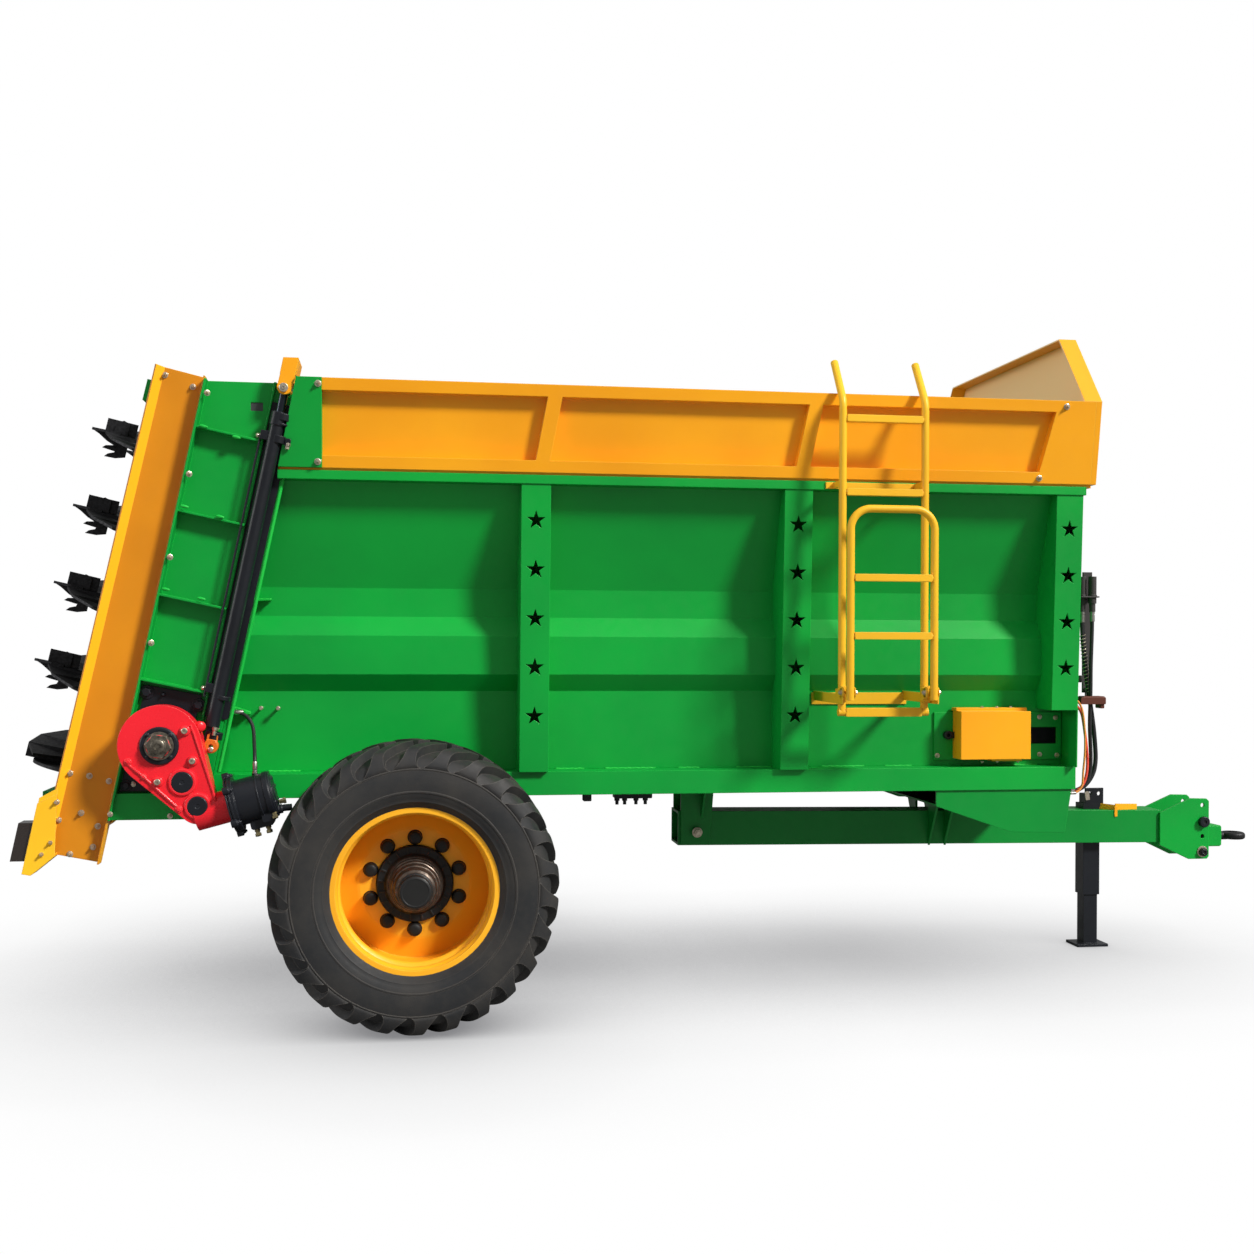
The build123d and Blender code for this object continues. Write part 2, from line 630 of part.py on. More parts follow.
def shield_section(z, web_w):
    """Plan of the right shield at height z."""
    front, rear = rear_x(z, FRAME_REAR), rear_x(z, FRAME_REAR + web_w)
    out, inn = -FRAME_WEB_Y - SHIELD_T, -FRAME_WEB_Y
    lip_x, lip_y = rear - SHIELD_LIP, out - SHIELD_LIP
    points = [(front, -FRAME_Y + 10), (front - SHIELD_T, -FRAME_Y + 10), (front - SHIELD_T, out),
              (rear, out), (lip_x, lip_y), (lip_x - SHIELD_T, lip_y + SHIELD_T), (rear - SHIELD_T, inn), (front, inn)]
    return Plane.XY.offset(z) * Polygon(*[(x, y) for x, y in points], align=None)


def shields():
    z0, z1 = AXLE_Z - 50, AXLE_Z + SHIELD_HEAD_UP + 80
    slab = loft([shield_section(z0, SHIELD_FOOT_W), shield_section(z1, SHIELD_HEAD_W)], ruled=True)
    foot, head = AXLE_Z + SHIELD_FOOT_UP, AXLE_Z + SHIELD_HEAD_UP
    drop = (SHIELD_FOOT_W + SHIELD_LIP) * tan(radians(REAR_LEAN))
    outline = [(rear_x(foot) - 300, foot - 16), (rear_x(foot) - 600, foot - 16 + drop * 300 / 218),
               (rear_x(head) - 600, head + drop * 250 / 218), (rear_x(head) - 300, head - 20)]
    slab = slab & prism_xz(outline, -FAR, 0)
    return both_sides(slab + wing())


def wing():
    """Folded bracket below the shield's lip that holds the rear lamp."""
    x, z = WING_X, AXLE_Z + WING_UP
    rear = [(x + dx, z + dz) for dx, dz in WING_REAR]
    outer = [(x, z), *rear, (x - 91, z - 299), (x - 7, z - 230)]
    inner = [(x + 20, z - 8), (x - 62, z - 38), (x - 115, z - 287), (x - 93, z - 291), (x, z - 214)]
    out = -FRAME_WEB_Y - SHIELD_T - SHIELD_LIP
    return prism_xz(outer, out - 4, out + WING_DEPTH) - prism_xz(inner, out, out + WING_DEPTH + 1)


def rear_lamps():
    head, foot = AXLE_Z + LAMP_HEAD_UP, AXLE_Z + LAMP_FOOT_UP
    outline = [(wing_rear_x(head), head), (wing_rear_x(head) - LAMP_T, head),
               (wing_rear_x(foot) - LAMP_T, foot), (wing_rear_x(foot), foot)]
    out = -FRAME_WEB_Y - SHIELD_T - SHIELD_LIP
    return both_sides(prism_xz(outline, out + 6, out + WING_DEPTH - 2))


def wing_rear_x(z):
    """X of the wing's rear face at height z."""
    (x0, z0), (x1, z1) = WING_REAR
    return WING_X + x0 + (x1 - x0) * (z - AXLE_Z - WING_UP - z0) / (z1 - z0)


def beater_plane(side):
    """Local frame on a beater's axis: z up the axis, x rearwards, origin at the disc's underside."""
    drop = BEATER_MID_UP - BEATER_FOOT_UP
    x = BEATER_X - drop * tan(radians(BEATER_LEAN))
    lean = radians(BEATER_LEAN)
    return Plane(origin=(x, side * BEATER_Y, AXLE_Z + BEATER_FOOT_UP),
                 x_dir=(-cos(lean), 0, sin(lean)), z_dir=(sin(lean), 0, cos(lean)))


def screw(r_in, r_out, turn_start, hand):
    """Screw flight round the z axis, built from flat facets."""
    count = round(FLIGHT_TURNS * FLIGHT_STEPS)

    def corner(i, r, dz):
        a = radians(turn_start + hand * 360 * i / FLIGHT_STEPS)
        return (r * cos(a), r * sin(a), FLIGHT_FOOT + BEATER_PITCH * i / FLIGHT_STEPS + dz)

    low, high = -FLIGHT_T / 2, FLIGHT_T / 2
    facets = []
    for i in range(count):
        j = i + 1
        for dz in (low, high):
            facets.append((corner(i, r_in, dz), corner(i, r_out, dz), corner(j, r_out, dz)))
            facets.append((corner(i, r_in, dz), corner(j, r_out, dz), corner(j, r_in, dz)))
        for r in (r_in, r_out):
            facets.append((corner(i, r, low), corner(j, r, low), corner(j, r, high), corner(i, r, high)))
    for i in (0, count):
        facets.append((corner(i, r_in, low), corner(i, r_out, low), corner(i, r_out, high), corner(i, r_in, high)))
    return from_facets(facets)


def from_facets(facets):
    """Closed solid from flat faces, each a list of its corners."""
    return Solid(Shell([Face(Wire.make_polygon(points)) for points in facets]))


def bar_up(r, s0, s1):
    """Round bar up the beater's axis, from s0 to s1."""
    return Pos(0, 0, (s0 + s1) / 2) * Cylinder(r, s1 - s0)


def blade(s):
    """Pointed blade at height s on the flight's edge, with its upright plate."""
    half, point = BLADE_W / 2, BLADE_POINT_W / 2
    neck = BLADE_R - BLADE_POINT_L
    outline = [(BLADE_ROOT_R, -half), (neck, -half), (BLADE_R, -point), (BLADE_R, point), (neck, half),
               (BLADE_ROOT_R, half)]
    upright = box(BLADE_ROOT_R - UPRIGHT_BACK, BLADE_R - UPRIGHT_BACK, -UPRIGHT_T / 2, UPRIGHT_T / 2, s, s + UPRIGHT_H)
    return prism_xy(outline, s - BLADE_T / 2, s + BLADE_T / 2) + upright


def beater(side):
    """Tube with a screw flight, blades and a throwing disc; the two beaters are of opposite hand."""
    part = bar_up(BEATER_TUBE_R, 0, BEATER_LENGTH) + bar_up(DISC_R, 0, DISC_T)
    part += bar_up(BEATER_STUB_R, -DISC_GAP, BEATER_LENGTH + BEAM_GAP + TOP_BEAM_H)
    turn_start = (FLIGHT_FOOT - BLADE_PHASE) / BEATER_PITCH * 360 * side
    part += screw(BEATER_TUBE_R - FUSE, FLIGHT_R, turn_start, side)
    for i in BLADE_STEPS:
        s = BLADE_PHASE + BEATER_PITCH * i / BLADES_PER_TURN
        turn = 360 * i / BLADES_PER_TURN * side
        part += Rot(0, 0, turn) * blade(s)
    for i in range(DISC_BLADES):
        fin = box(BEATER_TUBE_R - FUSE, DISC_BLADE_R, -DISC_FIN_T / 2, DISC_FIN_T / 2, DISC_T - 1, DISC_T + DISC_FIN_H)
        part += Rot(0, 0, 360 * i / DISC_BLADES) * fin
    return beater_plane(side).location * part


def top_beam():
    """Cross beam over the beaters with their upper bearings."""
    foot = BEATER_LENGTH + BEAM_GAP
    head = foot + TOP_BEAM_H
    beam = Pos(0, BEATER_Y, (foot + head) / 2) * Box(TOP_BEAM_W, 2 * FRAME_WEB_Y, TOP_BEAM_H)
    for y in (0, 2 * BEATER_Y):
        beam += Pos(0, y, 0) * bar_up(BEARING_R, head, head + BEARING_H)
        beam -= Pos(0, y, 0) * bar_up(BEATER_STUB_R + RUN, foot - 1, head + RUN)
    return beater_plane(1).location * beam


def lower_beam():
    """Cross tube below the beaters and the two arms that carry it from the box."""
    x = beater_plane(1).origin.X
    foot = AXLE_Z + FRAME_FOOT_UP
    beam = box(x - 10, x + 90, -FRAME_WEB_Y, FRAME_WEB_Y, foot, foot + FOOT_BOX_H)
    beam += box(x - 90, x, -LOWER_BEAM_Y, LOWER_BEAM_Y, foot, foot + FOOT_BOX_H)
    for y in (-LOWER_ARM_Y, LOWER_ARM_Y):
        beam += box(x + 90, rear_x(SILL_Z) + 140, y - 40, y + 40, foot, SILL_Z)
    return beam


def beater_drive():
    """Gear housings below the beaters, with the cross shafts between them."""
    foot = AXLE_Z + FRAME_FOOT_UP + FOOT_BOX_H
    z = foot + 20
    plane = beater_plane(1)
    x = plane.origin.X
    drive = rod_y(x, z, 20, -BEATER_Y, BEATER_Y) + box(x - 75, x + 95, -80, 80, foot, foot + 62)
    drive -= box(-FAR, FAR, -FAR, FAR, 0, foot)
    for side in (-1, 1):
        drive += Pos(x, side * BEATER_Y, foot + 11) * Box(150, 170, 22)
        drive -= beater_plane(side).location * bar_up(BEATER_STUB_R + RUN, -DISC_GAP - RUN, 0)
    return drive


def bearing_plates():
    """Black bearing plates of the rear floor shaft."""
    low, high = AXLE_Z + PLATE_FOOT_UP, AXLE_Z + PLATE_HEAD_UP
    rise = 190 * tan(radians(REAR_LEAN))
    outline = [(rear_x(low, 118), low), (rear_x(high - rise, 100), high - rise),
               (rear_x(high, 310), high), (rear_x(low, 322), low)]
    return both_sides(prism_xz(outline, -FRAME_WEB_Y - FRAME_T - PLATE_T, -FRAME_WEB_Y - FRAME_T))


def hull_of_two(c1, r1, c2, r2, y0, y1):
    """Plate round two circles, with straight sides that touch both."""
    dx, dz = c2[0] - c1[0], c2[1] - c1[1]
    d = (dx * dx + dz * dz) ** 0.5
    ux, uz = dx / d, dz / d
    k = (r1 - r2) / d
    s = (1 - k * k) ** 0.5
    pts = []
    for sign in (1, -1):
        nx, nz = k * ux - sign * s * uz, k * uz + sign * s * ux
        pts.append((c1[0] + r1 * nx, c1[1] + r1 * nz))
        pts.append((c2[0] + r2 * nx, c2[1] + r2 * nz))
    outline = [pts[0], pts[1], pts[3], pts[2]]
    return prism_xz(outline, y0, y1) + rod_y(*c1, r1, y0, y1) + rod_y(*c2, r2, y0, y1)


def floor_gearbox():
    top = (REAR_SHAFT_X, SHAFT_Z)
    low = (REAR_SHAFT_X + GEARBOX_STEP_X, SHAFT_Z - GEARBOX_STEP_Z)
    inner = -CYL_Y - CYL_PIN_REACH - 1
    case = hull_of_two(top, GEARBOX_R, low, GEARBOX_FOOT_R, GEARBOX_FACE_Y, inner)
    case += rod_y(*top, GEARBOX_R - GEARBOX_NECK, inner, -FRAME_WEB_Y - FRAME_T - PLATE_T)
    middle = (top[0] + CAP_UP * GEARBOX_STEP_X, top[1] - CAP_UP * GEARBOX_STEP_Z)
    for (x, z), (r, height) in ((top, BEARING_RING), (top, SHAFT_NUT), (low, CAP), (middle, CAP)):
        case += rod_y(x, z, r, GEARBOX_FACE_Y - height, GEARBOX_FACE_Y)
    return case + motor_plane() * Pos(0, 0, -SNOUT_L / 2) * Cylinder(SNOUT_R, SNOUT_L)


def motor_plane():
    """Local frame of the hydraulic motor: z along its axis, origin at the gearbox flange."""
    tilt = radians(MOTOR_TILT)
    x = REAR_SHAFT_X + GEARBOX_STEP_X + MOTOR_REACH
    return Plane(origin=(x, MOTOR_Y, SHAFT_Z - GEARBOX_STEP_Z), x_dir=(0, 1, 0),
                 z_dir=(cos(tilt), 0, sin(tilt))).location


def hydraulic_motor():
    motor = Pos(0, 0, MOTOR_FLANGE_T / 2) * Cylinder(MOTOR_FLANGE_R, MOTOR_FLANGE_T)
    motor += Pos(0, 0, MOTOR_L / 2) * Cylinder(MOTOR_R, MOTOR_L)
    x, y, z = MOTOR_ROUTE[-1]
    return motor_plane() * motor + rod_z(x, y, CRIMP_R - 2, z - MOTOR_R, z)


def floor_shafts():
    shafts = []
    for x, reach in ((REAR_SHAFT_X, FRAME_WEB_Y), (FRONT_SHAFT_X, WALL_Y - SHEET)):
        shaft = rod_y(x, SHAFT_Z, FLOOR_SHAFT_R, -reach, reach)
        for y in CHAIN_YS:
            shaft += rod_y(x, SHAFT_Z, CHAIN_IN_R - 0.5, y - CHAIN_W / 2, y + CHAIN_W / 2)
        shafts.append(shaft)
    return together(*shafts)


def chain_line(r):
    """Closed line round both shafts whose facets touch the circle of radius r."""
    step = radians(180 / CHAIN_FACETS)
    corner_r = r / cos(step / 2)
    line = []
    for x, start in ((REAR_SHAFT_X, pi / 2), (FRONT_SHAFT_X, -pi / 2)):
        for i in range(CHAIN_FACETS):
            a = start + step * (i + 0.5)
            line.append((x + corner_r * cos(a), SHAFT_Z + corner_r * sin(a)))
    return line


def floor_chain():
    """Chain loops with their slats: the top run slides on the floor."""
    loops = []
    for y in CHAIN_YS:
        y0, y1 = y - CHAIN_W / 2, y + CHAIN_W / 2
        outer, inner = chain_line(CHAIN_IN_R + CHAIN_T), chain_line(CHAIN_IN_R)
        loops.append(prism_xz(outer, y0, y1) - prism_xz(inner, y0 - 1, y1 + 1))
    count = int((FRONT_SHAFT_X - REAR_SHAFT_X) / SLAT_PITCH) + 1
    slats = []
    for i in range(count):
        x = REAR_SHAFT_X + i * SLAT_PITCH
        top = SHAFT_Z + CHAIN_IN_R
        slats.append(box(x, x + SLAT_W, -SLAT_Y, SLAT_Y, top, top + SLAT_H))
        low = SHAFT_Z - CHAIN_IN_R
        slats.append(box(x, x + SLAT_W, -SLAT_Y, SLAT_Y, low - SLAT_H, low))
    chain = loops[0]
    return chain.fuse(*loops[1:], *slats)


def tensioner_plates():
    back, face = -WALL_Y, -WALL_Y - TENSIONER_T
    rear, front, half = TENSIONER_SLOT
    plate = box(TENSIONER_X0, TENSIONER_X1, face, back, SHAFT_Z - TENSIONER_DOWN, SHAFT_Z + TENSIONER_UP)
    plate -= box(TENSIONER_X1 - rear, TENSIONER_X1 - front, face - 1, back + 1, SHAFT_Z - half, SHAFT_Z + half)
    return both_sides(plate)


def tensioner_covers():
    z0, z1 = SHAFT_Z - TENSIONER_DOWN + 8, SHAFT_Z + TENSIONER_UP + 8
    x0, x1, t = COVER_X, COVER_X + COVER_L, COVER_T
    back = -WALL_Y - TENSIONER_T
    cover = box(x0, x1, -COVER_Y, back, z0, z1) - box(x0 + t, x1 - t, -COVER_Y + t, back + 1, z0 + t, z1 - t)
    cover += box(x0 - 6, x1, -COVER_LIP_Y, back, z1, z1 + 13)
    cover += box(x1 - COVER_L / 2, x1 - 20, -COVER_LIP_Y, back, z0 - 11, z0)
    return both_sides(cover)


# ---------------------------------------------------------------- tailgate
def cylinder_plane():
    """Local frame of the right cylinder: z up along the lean, origin at the barrel's foot."""
    z = AXLE_Z + CYL_FOOT_UP
    lean = radians(REAR_LEAN)
    return Plane(origin=(rear_x(z, CYL_OFF), -CYL_Y, z), x_dir=(-cos(lean), 0, sin(lean)),
                 z_dir=(sin(lean), 0, cos(lean))).location


def cylinder_point(s):
    """X and Z of a point a distance s up the cylinder's axis."""
    lean = radians(REAR_LEAN)
    z = AXLE_Z + CYL_FOOT_UP
    return rear_x(z, CYL_OFF) + s * sin(lean), z + s * cos(lean)


def cylinder_barrels():
    barrel = Pos(0, 0, CYL_BARREL_L / 2) * Cylinder(BARREL_R, CYL_BARREL_L)
    barrel -= Pos(0, 0, CYL_BARREL_L / 2 + 60) * Cylinder(BARREL_BORE_R, CYL_BARREL_L)
    gland = Pos(0, 0, CYL_BARREL_L - 25) * Cylinder(BARREL_R + 4, 50)
    barrel += gland - Pos(0, 0, CYL_BARREL_L - 25) * Cylinder(ROD_R + 1, 60)
    barrel += Pos(0, 0, -CYL_EYE_DROP / 2) * Box(34, 30, CYL_EYE_DROP)
    barrel += Pos(0, 0, -CYL_EYE_DROP) * Rot(90, 0, 0) * Cylinder(EYE_R - 4, 30)
    barrel -= Pos(0, 0, -CYL_EYE_DROP) * Rot(90, 0, 0) * Cylinder(CYL_PIN_R, 60)
    return both_sides(cylinder_plane() * barrel)


def gate_rods():
    length = CYL_BARREL_L - 100 + ROD_SHOWN
    top = CYL_EYE_S
    rod = Pos(0, 0, top - length / 2) * Cylinder(ROD_R, length)
    rod += Pos(0, 0, top) * Rot(90, 0, 0) * Cylinder(EYE_R, 2 * FORK_HALF)
    return both_sides(cylinder_plane() * rod)


def tailgate():
    foot, head = FLOOR_Z + GATE_FOOT_GAP, GATE_HEAD_Z
    near, far = GATE_OFF - GATE_T / 2, GATE_OFF + GATE_T / 2
    gate = leaning(foot, head, near, near + SHEET, -GATE_Y, GATE_Y)
    for i in range(GATE_BARS):
        z = foot + (head - foot - GATE_BAR_H) * i / (GATE_BARS - 1)
        gate += leaning(z, z + GATE_BAR_H, near, far, -GATE_Y, GATE_Y)
    for y in (-GATE_Y, GATE_Y - GATE_BAR_H):
        gate += leaning(foot, head, near, far, y, y + GATE_BAR_H)
    return gate


def gate_arms():
    """Yellow arms over the frame's head, from the gate to the rods' eyes."""
    eye_x, eye_z = cylinder_point(CYL_EYE_S)
    head = GATE_HEAD_Z
    up = head + ARM_H
    half = EYE_R
    cheek = [(eye_x - half, eye_z), (rear_x(up, CYL_OFF + half), up - 12), (rear_x(up, CYL_OFF + half - 12), up),
             (rear_x(up, CYL_OFF - half + 12), up), (rear_x(up, CYL_OFF - half), up - 12), (eye_x + half, eye_z)]
    arm = None
    for y in (-CYL_Y - FORK_HALF - ARM_T, -CYL_Y + FORK_HALF):
        plate = prism_xz(cheek, y, y + ARM_T) + rod_y(eye_x, eye_z, half, y, y + ARM_T)
        arm = plate if arm is None else arm + plate
    arm += leaning(head + 6, up, CYL_OFF - half, CYL_OFF + half, -CYL_Y - FORK_HALF - ARM_T, -GATE_Y + 90)
    arm += leaning(head, head + 6, GATE_OFF - GATE_T / 2, GATE_OFF + GATE_T / 2, -GATE_Y, -GATE_Y + 90)
    arm += rod_y(eye_x, eye_z, CYL_PIN_R, -CYL_Y - FORK_HALF - ARM_T - 6, -CYL_Y - FORK_HALF)
    return both_sides(arm)


# ---------------------------------------------------------------- running gear
def axle():
    beam = box(-AXLE_SIDE / 2, AXLE_SIDE / 2, -HUB_INNER_Y + 10, HUB_INNER_Y - 10,
               AXLE_Z - AXLE_SIDE / 2, AXLE_Z + AXLE_SIDE / 2)
    spindle = rod_y(0, AXLE_Z, SPINDLE_R, -HUB_CAP_Y + 60, HUB_CAP_Y - 60)
    return beam + spindle


def axle_brackets():
    """Plates that stand on the axle and carry the sills."""
    top = AXLE_Z + AXLE_SIDE / 2
    outline = [(-70, top), (-260, SILL_Z), (260, SILL_Z), (70, top)]
    parts = prism_xz(outline, -SILL_Y + 20, -SILL_Y + 32) + prism_xz(outline, -WALL_Y - 12, -WALL_Y)
    parts += box(-70, 70, -SILL_Y + 20, -WALL_Y, top, top + 10)
    return both_sides(parts)


def cross_members():
    made = []
    count = int((FRONT_X - CROSS_FRONT_GAP) / CROSS_PITCH) + 1
    for i in range(CROSS_REAR, count):
        x = i * CROSS_PITCH
        bar = box(x - 40, x + 40, -WALL_Y + SHEET, WALL_Y - SHEET, SILL_Z, WALL_Z - 4)
        bar -= box(x - 34, x + 34, -WALL_Y, WALL_Y, SILL_Z - 1, WALL_Z - 10)
        made.append(bar - rod_x(0, DRIVE_Z, DRIVE_R + 12, x - 60, x + 60))
    return together(*made)


def revolve_y(points):
    """Ring round the wheel axis from (radius, distance along Y) points."""
    return Pos(0, 0, AXLE_Z) * revolve(Polygon(*points, align=None), axis=Axis.Y)


def stud_holes(r, y0, y1):
    bars = []
    for i in range(STUD_COUNT):
        a = 2 * pi * i / STUD_COUNT
        bars.append(rod_y(STUD_PCD_R * cos(a), AXLE_Z + STUD_PCD_R * sin(a), r, y0, y1))
    return bars


def rim():
    """Left wheel's rim with its disc."""
    a, b = WHEEL_Y - RIM_W / 2, WHEEL_Y + RIM_W / 2
    f, s, w, t = RIM_FLANGE_R, RIM_SEAT_R, RIM_WELL_R, RIM_T
    outer = [(f, a), (f, a + t), (s, a + t + 8), (s, a + 90), (w, a + 115), (w, a + 175), (s, a + 200),
             (s, b - t - 8), (f, b - t), (f, b)]
    inner = [(s - t, b), (s - t, a + 200 + 4), (w - t, a + 175 + 4), (w - t, a + 115 - 4), (s - t, a + 90 - 4), (s - t, a)]
    ring = revolve_y(outer + inner)
    p = HUB_PILOT_R + RUN
    disc = revolve_y([(p, DISC_Y - WHEEL_DISC_T), (p, DISC_Y), (DISC_FLAT_R, DISC_Y), (s - t + 1, DISC_Y - 30),
                      (s - t + 1, DISC_Y - 30 - WHEEL_DISC_T), (DISC_FLAT_R - 2, DISC_Y - WHEEL_DISC_T)])
    for hole in stud_holes(STUD_R + RUN, DISC_Y - 40, DISC_Y + 10):
        disc -= hole
    return ring + disc


def hub():
    """Left hub, with the studs and nuts that hold the disc."""
    y = DISC_Y
    bore = SPINDLE_R + RUN
    body = revolve_y([(bore, HUB_INNER_Y), (112, HUB_INNER_Y), (112, y - 40), (HUB_FLANGE_R, y - 34),
                      (HUB_FLANGE_R, y - WHEEL_DISC_T), (HUB_PILOT_R, y - WHEEL_DISC_T), (HUB_PILOT_R, y + 20),
                      (HUB_NOSE_R + 12, y + 34), (HUB_NOSE_R, y + 90), (HUB_CAP_R + 14, HUB_CAP_Y - 60),
                      (HUB_CAP_R, HUB_CAP_Y - 50), (HUB_CAP_R, HUB_CAP_Y), (0, HUB_CAP_Y),
                      (0, HUB_CAP_Y - 54), (bore, HUB_CAP_Y - 54)])
    studs = stud_holes(STUD_R, y - WHEEL_DISC_T - 1, y + 2) + stud_holes(NUT_R, y, y + NUT_H)
    return body.fuse(*studs)


def tyre_corner(turn, r, off):
    """A corner of the left tyre and the angle where it stands, in degrees."""
    a = radians(turn)
    return turn, (r * cos(a), WHEEL_Y + off, AXLE_Z + r * sin(a))


def plain_ring(r, off):
    """Corners at one radius, two for each lug."""
    return [tyre_corner(180 / LUG_COUNT * i, r, off) for i in range(2 * LUG_COUNT)]


def lug_ring(off, drop, sweep, side):
    """Corners across one shoulder's lugs: foot, top, top and foot of each."""
    pitch = 360 / LUG_COUNT
    top, foot = TYRE_R - drop, TYRE_R - drop - LUG_DEPTH
    profile = ((0, foot), (LUG_SLOPE, top), (LUG_SLOPE + LUG_ARC, top), (2 * LUG_SLOPE + LUG_ARC, foot))
    first = -90 - LUG_SLOPE + sweep * LUG_SWEEP
    if side < 0:
        first += pitch / 2
    return [tyre_corner(first + i * pitch + step, r, side * off) for i in range(LUG_COUNT) for step, r in profile]


def flat_band(a, b):
    """Four-sided facets between two rings whose corners stand at the same angles."""
    corners = [(a[i][1], a[i - 1][1], b[i - 1][1], b[i][1]) for i in range(len(a))]
    return corners


def skewed_band(a, b):
    """Triangles between two rings with as many corners."""
    facets = []
    for quad in flat_band(a, b):
        facets += [(quad[0], quad[1], quad[2]), (quad[0], quad[2], quad[3])]
    return facets


def laced_band(a, b):
    """Triangles between two rings with different corners, in the order of their angles."""
    start = a[0][0]
    turns = []
    for ring in (a, b):
        once = sorted(((turn - start) % 360, corner) for turn, corner in ring)
        turns.append(once + [(once[0][0] + 360, once[0][1])])
    (a, b), i, j = turns, 0, 0
    facets = []
    while i < len(a) - 1 or j < len(b) - 1:
        if j == len(b) - 1 or (i < len(a) - 1 and a[i + 1][0] <= b[j + 1][0]):
            facets.append((a[i][1], a[i + 1][1], b[j][1]))
            i += 1
        else:
            facets.append((a[i][1], b[j + 1][1], b[j][1]))
            j += 1
    return facets


def tyre():
    """Left tyre, from flat facets, with a row of swept lugs on each shoulder."""
    swell = 1 / cos(pi / (2 * LUG_COUNT))   # keeps the middles of the bead's facets off the rim
    bead = RIM_W / 2 - RIM_T
    half = TYRE_W / 2
    wall = [((RIM_SEAT_R + RUN) * swell, bead - 9), ((RIM_FLANGE_R + RUN) * swell, bead - 1),
            (TYRE_WALL_R, half), (SHOULDER_R, half - 4)]
    seat_r, seat_off = wall[0]
    middle = plain_ring(TYRE_R - LUG_DEPTH, 0)
    facets = flat_band(plain_ring(seat_r, seat_off), plain_ring(seat_r, -seat_off))
    for side in (1, -1):
        rings = [plain_ring(r, side * off) for r, off in wall]
        lugs = [lug_ring(off, drop, sweep, side) for off, drop, sweep in LUG_ROWS]
        for a, b in zip(rings, rings[1:]):
            facets += flat_band(a, b)
        for a, b in zip(lugs, lugs[1:]):
            facets += skewed_band(a, b)
        facets += laced_band(middle, lugs[0]) + laced_band(lugs[-1], rings[-1])
    return from_facets(facets)


# ---------------------------------------------------------------- drawbar
def beam_foot(x):
    return AXLE_Z - BEAM_FOOT_DROP - BEAM_FALL * (x - BEAM_REAR_X) / (BEAM_FRONT_X - BEAM_REAR_X)


def beam_prism(inset, x0, x1):
    outline = [(x0, beam_foot(x0) + inset), (x1, beam_foot(x1) + inset),
               (x1, beam_foot(x1) + BEAM_H - inset), (x0, beam_foot(x0) + BEAM_H - inset)]
    return prism_xz(outline, -BEAM_W / 2 + inset, BEAM_W / 2 - inset)


def drawbar():
    beam = beam_prism(0, BEAM_REAR_X, BEAM_FRONT_X) - beam_prism(BEAM_WALL, BEAM_REAR_X - 1, BEAM_FRONT_X + 1)
    beam -= box(JACK_X - JACK_SIDE / 2, JACK_X + JACK_SIDE / 2, -JACK_SIDE / 2, JACK_SIDE / 2, 0, 2000)
    return beam - rod_y(HANGER_X, AXLE_Z + HANGER_PIN_UP, HANGER_PIN_R, -BEAM_W, BEAM_W)


def drawbar_hanger():
    """Rear hanger: two cheeks and a pin below a cross member."""
    x, z = HANGER_X, AXLE_Z + HANGER_PIN_UP
    outline = [(x - 70, z - 55), (x + 60, z - 55), (x + 80, SILL_Z), (x - 70, SILL_Z)]
    side = BEAM_W / 2
    hanger = prism_xz(outline, side, side + 12) + prism_xz(outline, -side - 12, -side)
    hanger += rod_y(x, z, HANGER_PIN_R, -side - 30, side + 30)
    fin = [(side + 12, z + 60), (side + 110, SILL_Z), (side + 12, SILL_Z)]
    left = prism_yz(fin, x + 20, x + 30)
    return hanger + left + other_side(left)


def drawbar_carrier():
    """Cross box under the front of the sills that sits on the drawbar."""
    r, f = CARRIER_REAR_X, CARRIER_FRONT_X
    knee = r + 323
    low = beam_foot(knee) + BEAM_H
    side = [(r, SILL_Z), (f, SILL_Z), (f - 29, low - 24), (knee, low - 18), (r, SILL_Z - 65)]
    cheek = prism_xz(side, -SILL_Y + 8, -SILL_Y + 16)
    pan = [(r, SILL_Z - 65), (knee, low), (f - 26, low), (f, SILL_Z), (f - 8, SILL_Z), (f - 33, low + 8),
           (knee + 2, low + 8), (r, SILL_Z - 57)]
    carrier = cheek + other_side(cheek) + prism_xz(pan, -SILL_Y + 12, SILL_Y - 12)
    for x in (knee - 130, knee - 55):
        fin = [(-BEAM_W / 2, beam_foot(x) - 6), (-BEAM_W / 2, low + 40), (-BEAM_W / 2 - 110, low + 40)]
        gusset = prism_yz(fin, x, x + 10) - prism_xz(pan[:6] + [(f, 2000), (r, 2000)], -2000, 2000)
        carrier += gusset + other_side(gusset)
    return carrier


def hitch_head():
    x, z = BEAM_FRONT_X, AXLE_Z
    outline = [(x - 10, z + 100), (x + 142, z + 165), (x + 152, z + 165), (x + 222, z + 163), (x + 234, z + 152),
               (x + 234, z - 106), (x + 224, z - 117), (x + 134, z - 117), (x - 10, z - 50)]
    y = BEAM_W / 2
    plate = prism_xz(outline, -y - HITCH_T, -y)
    for dz in HITCH_HOLES:
        plate -= rod_y(x + HITCH_HOLE_X, z + dz, HITCH_HOLE_R, -FAR, 0)
    return both_sides(plate)


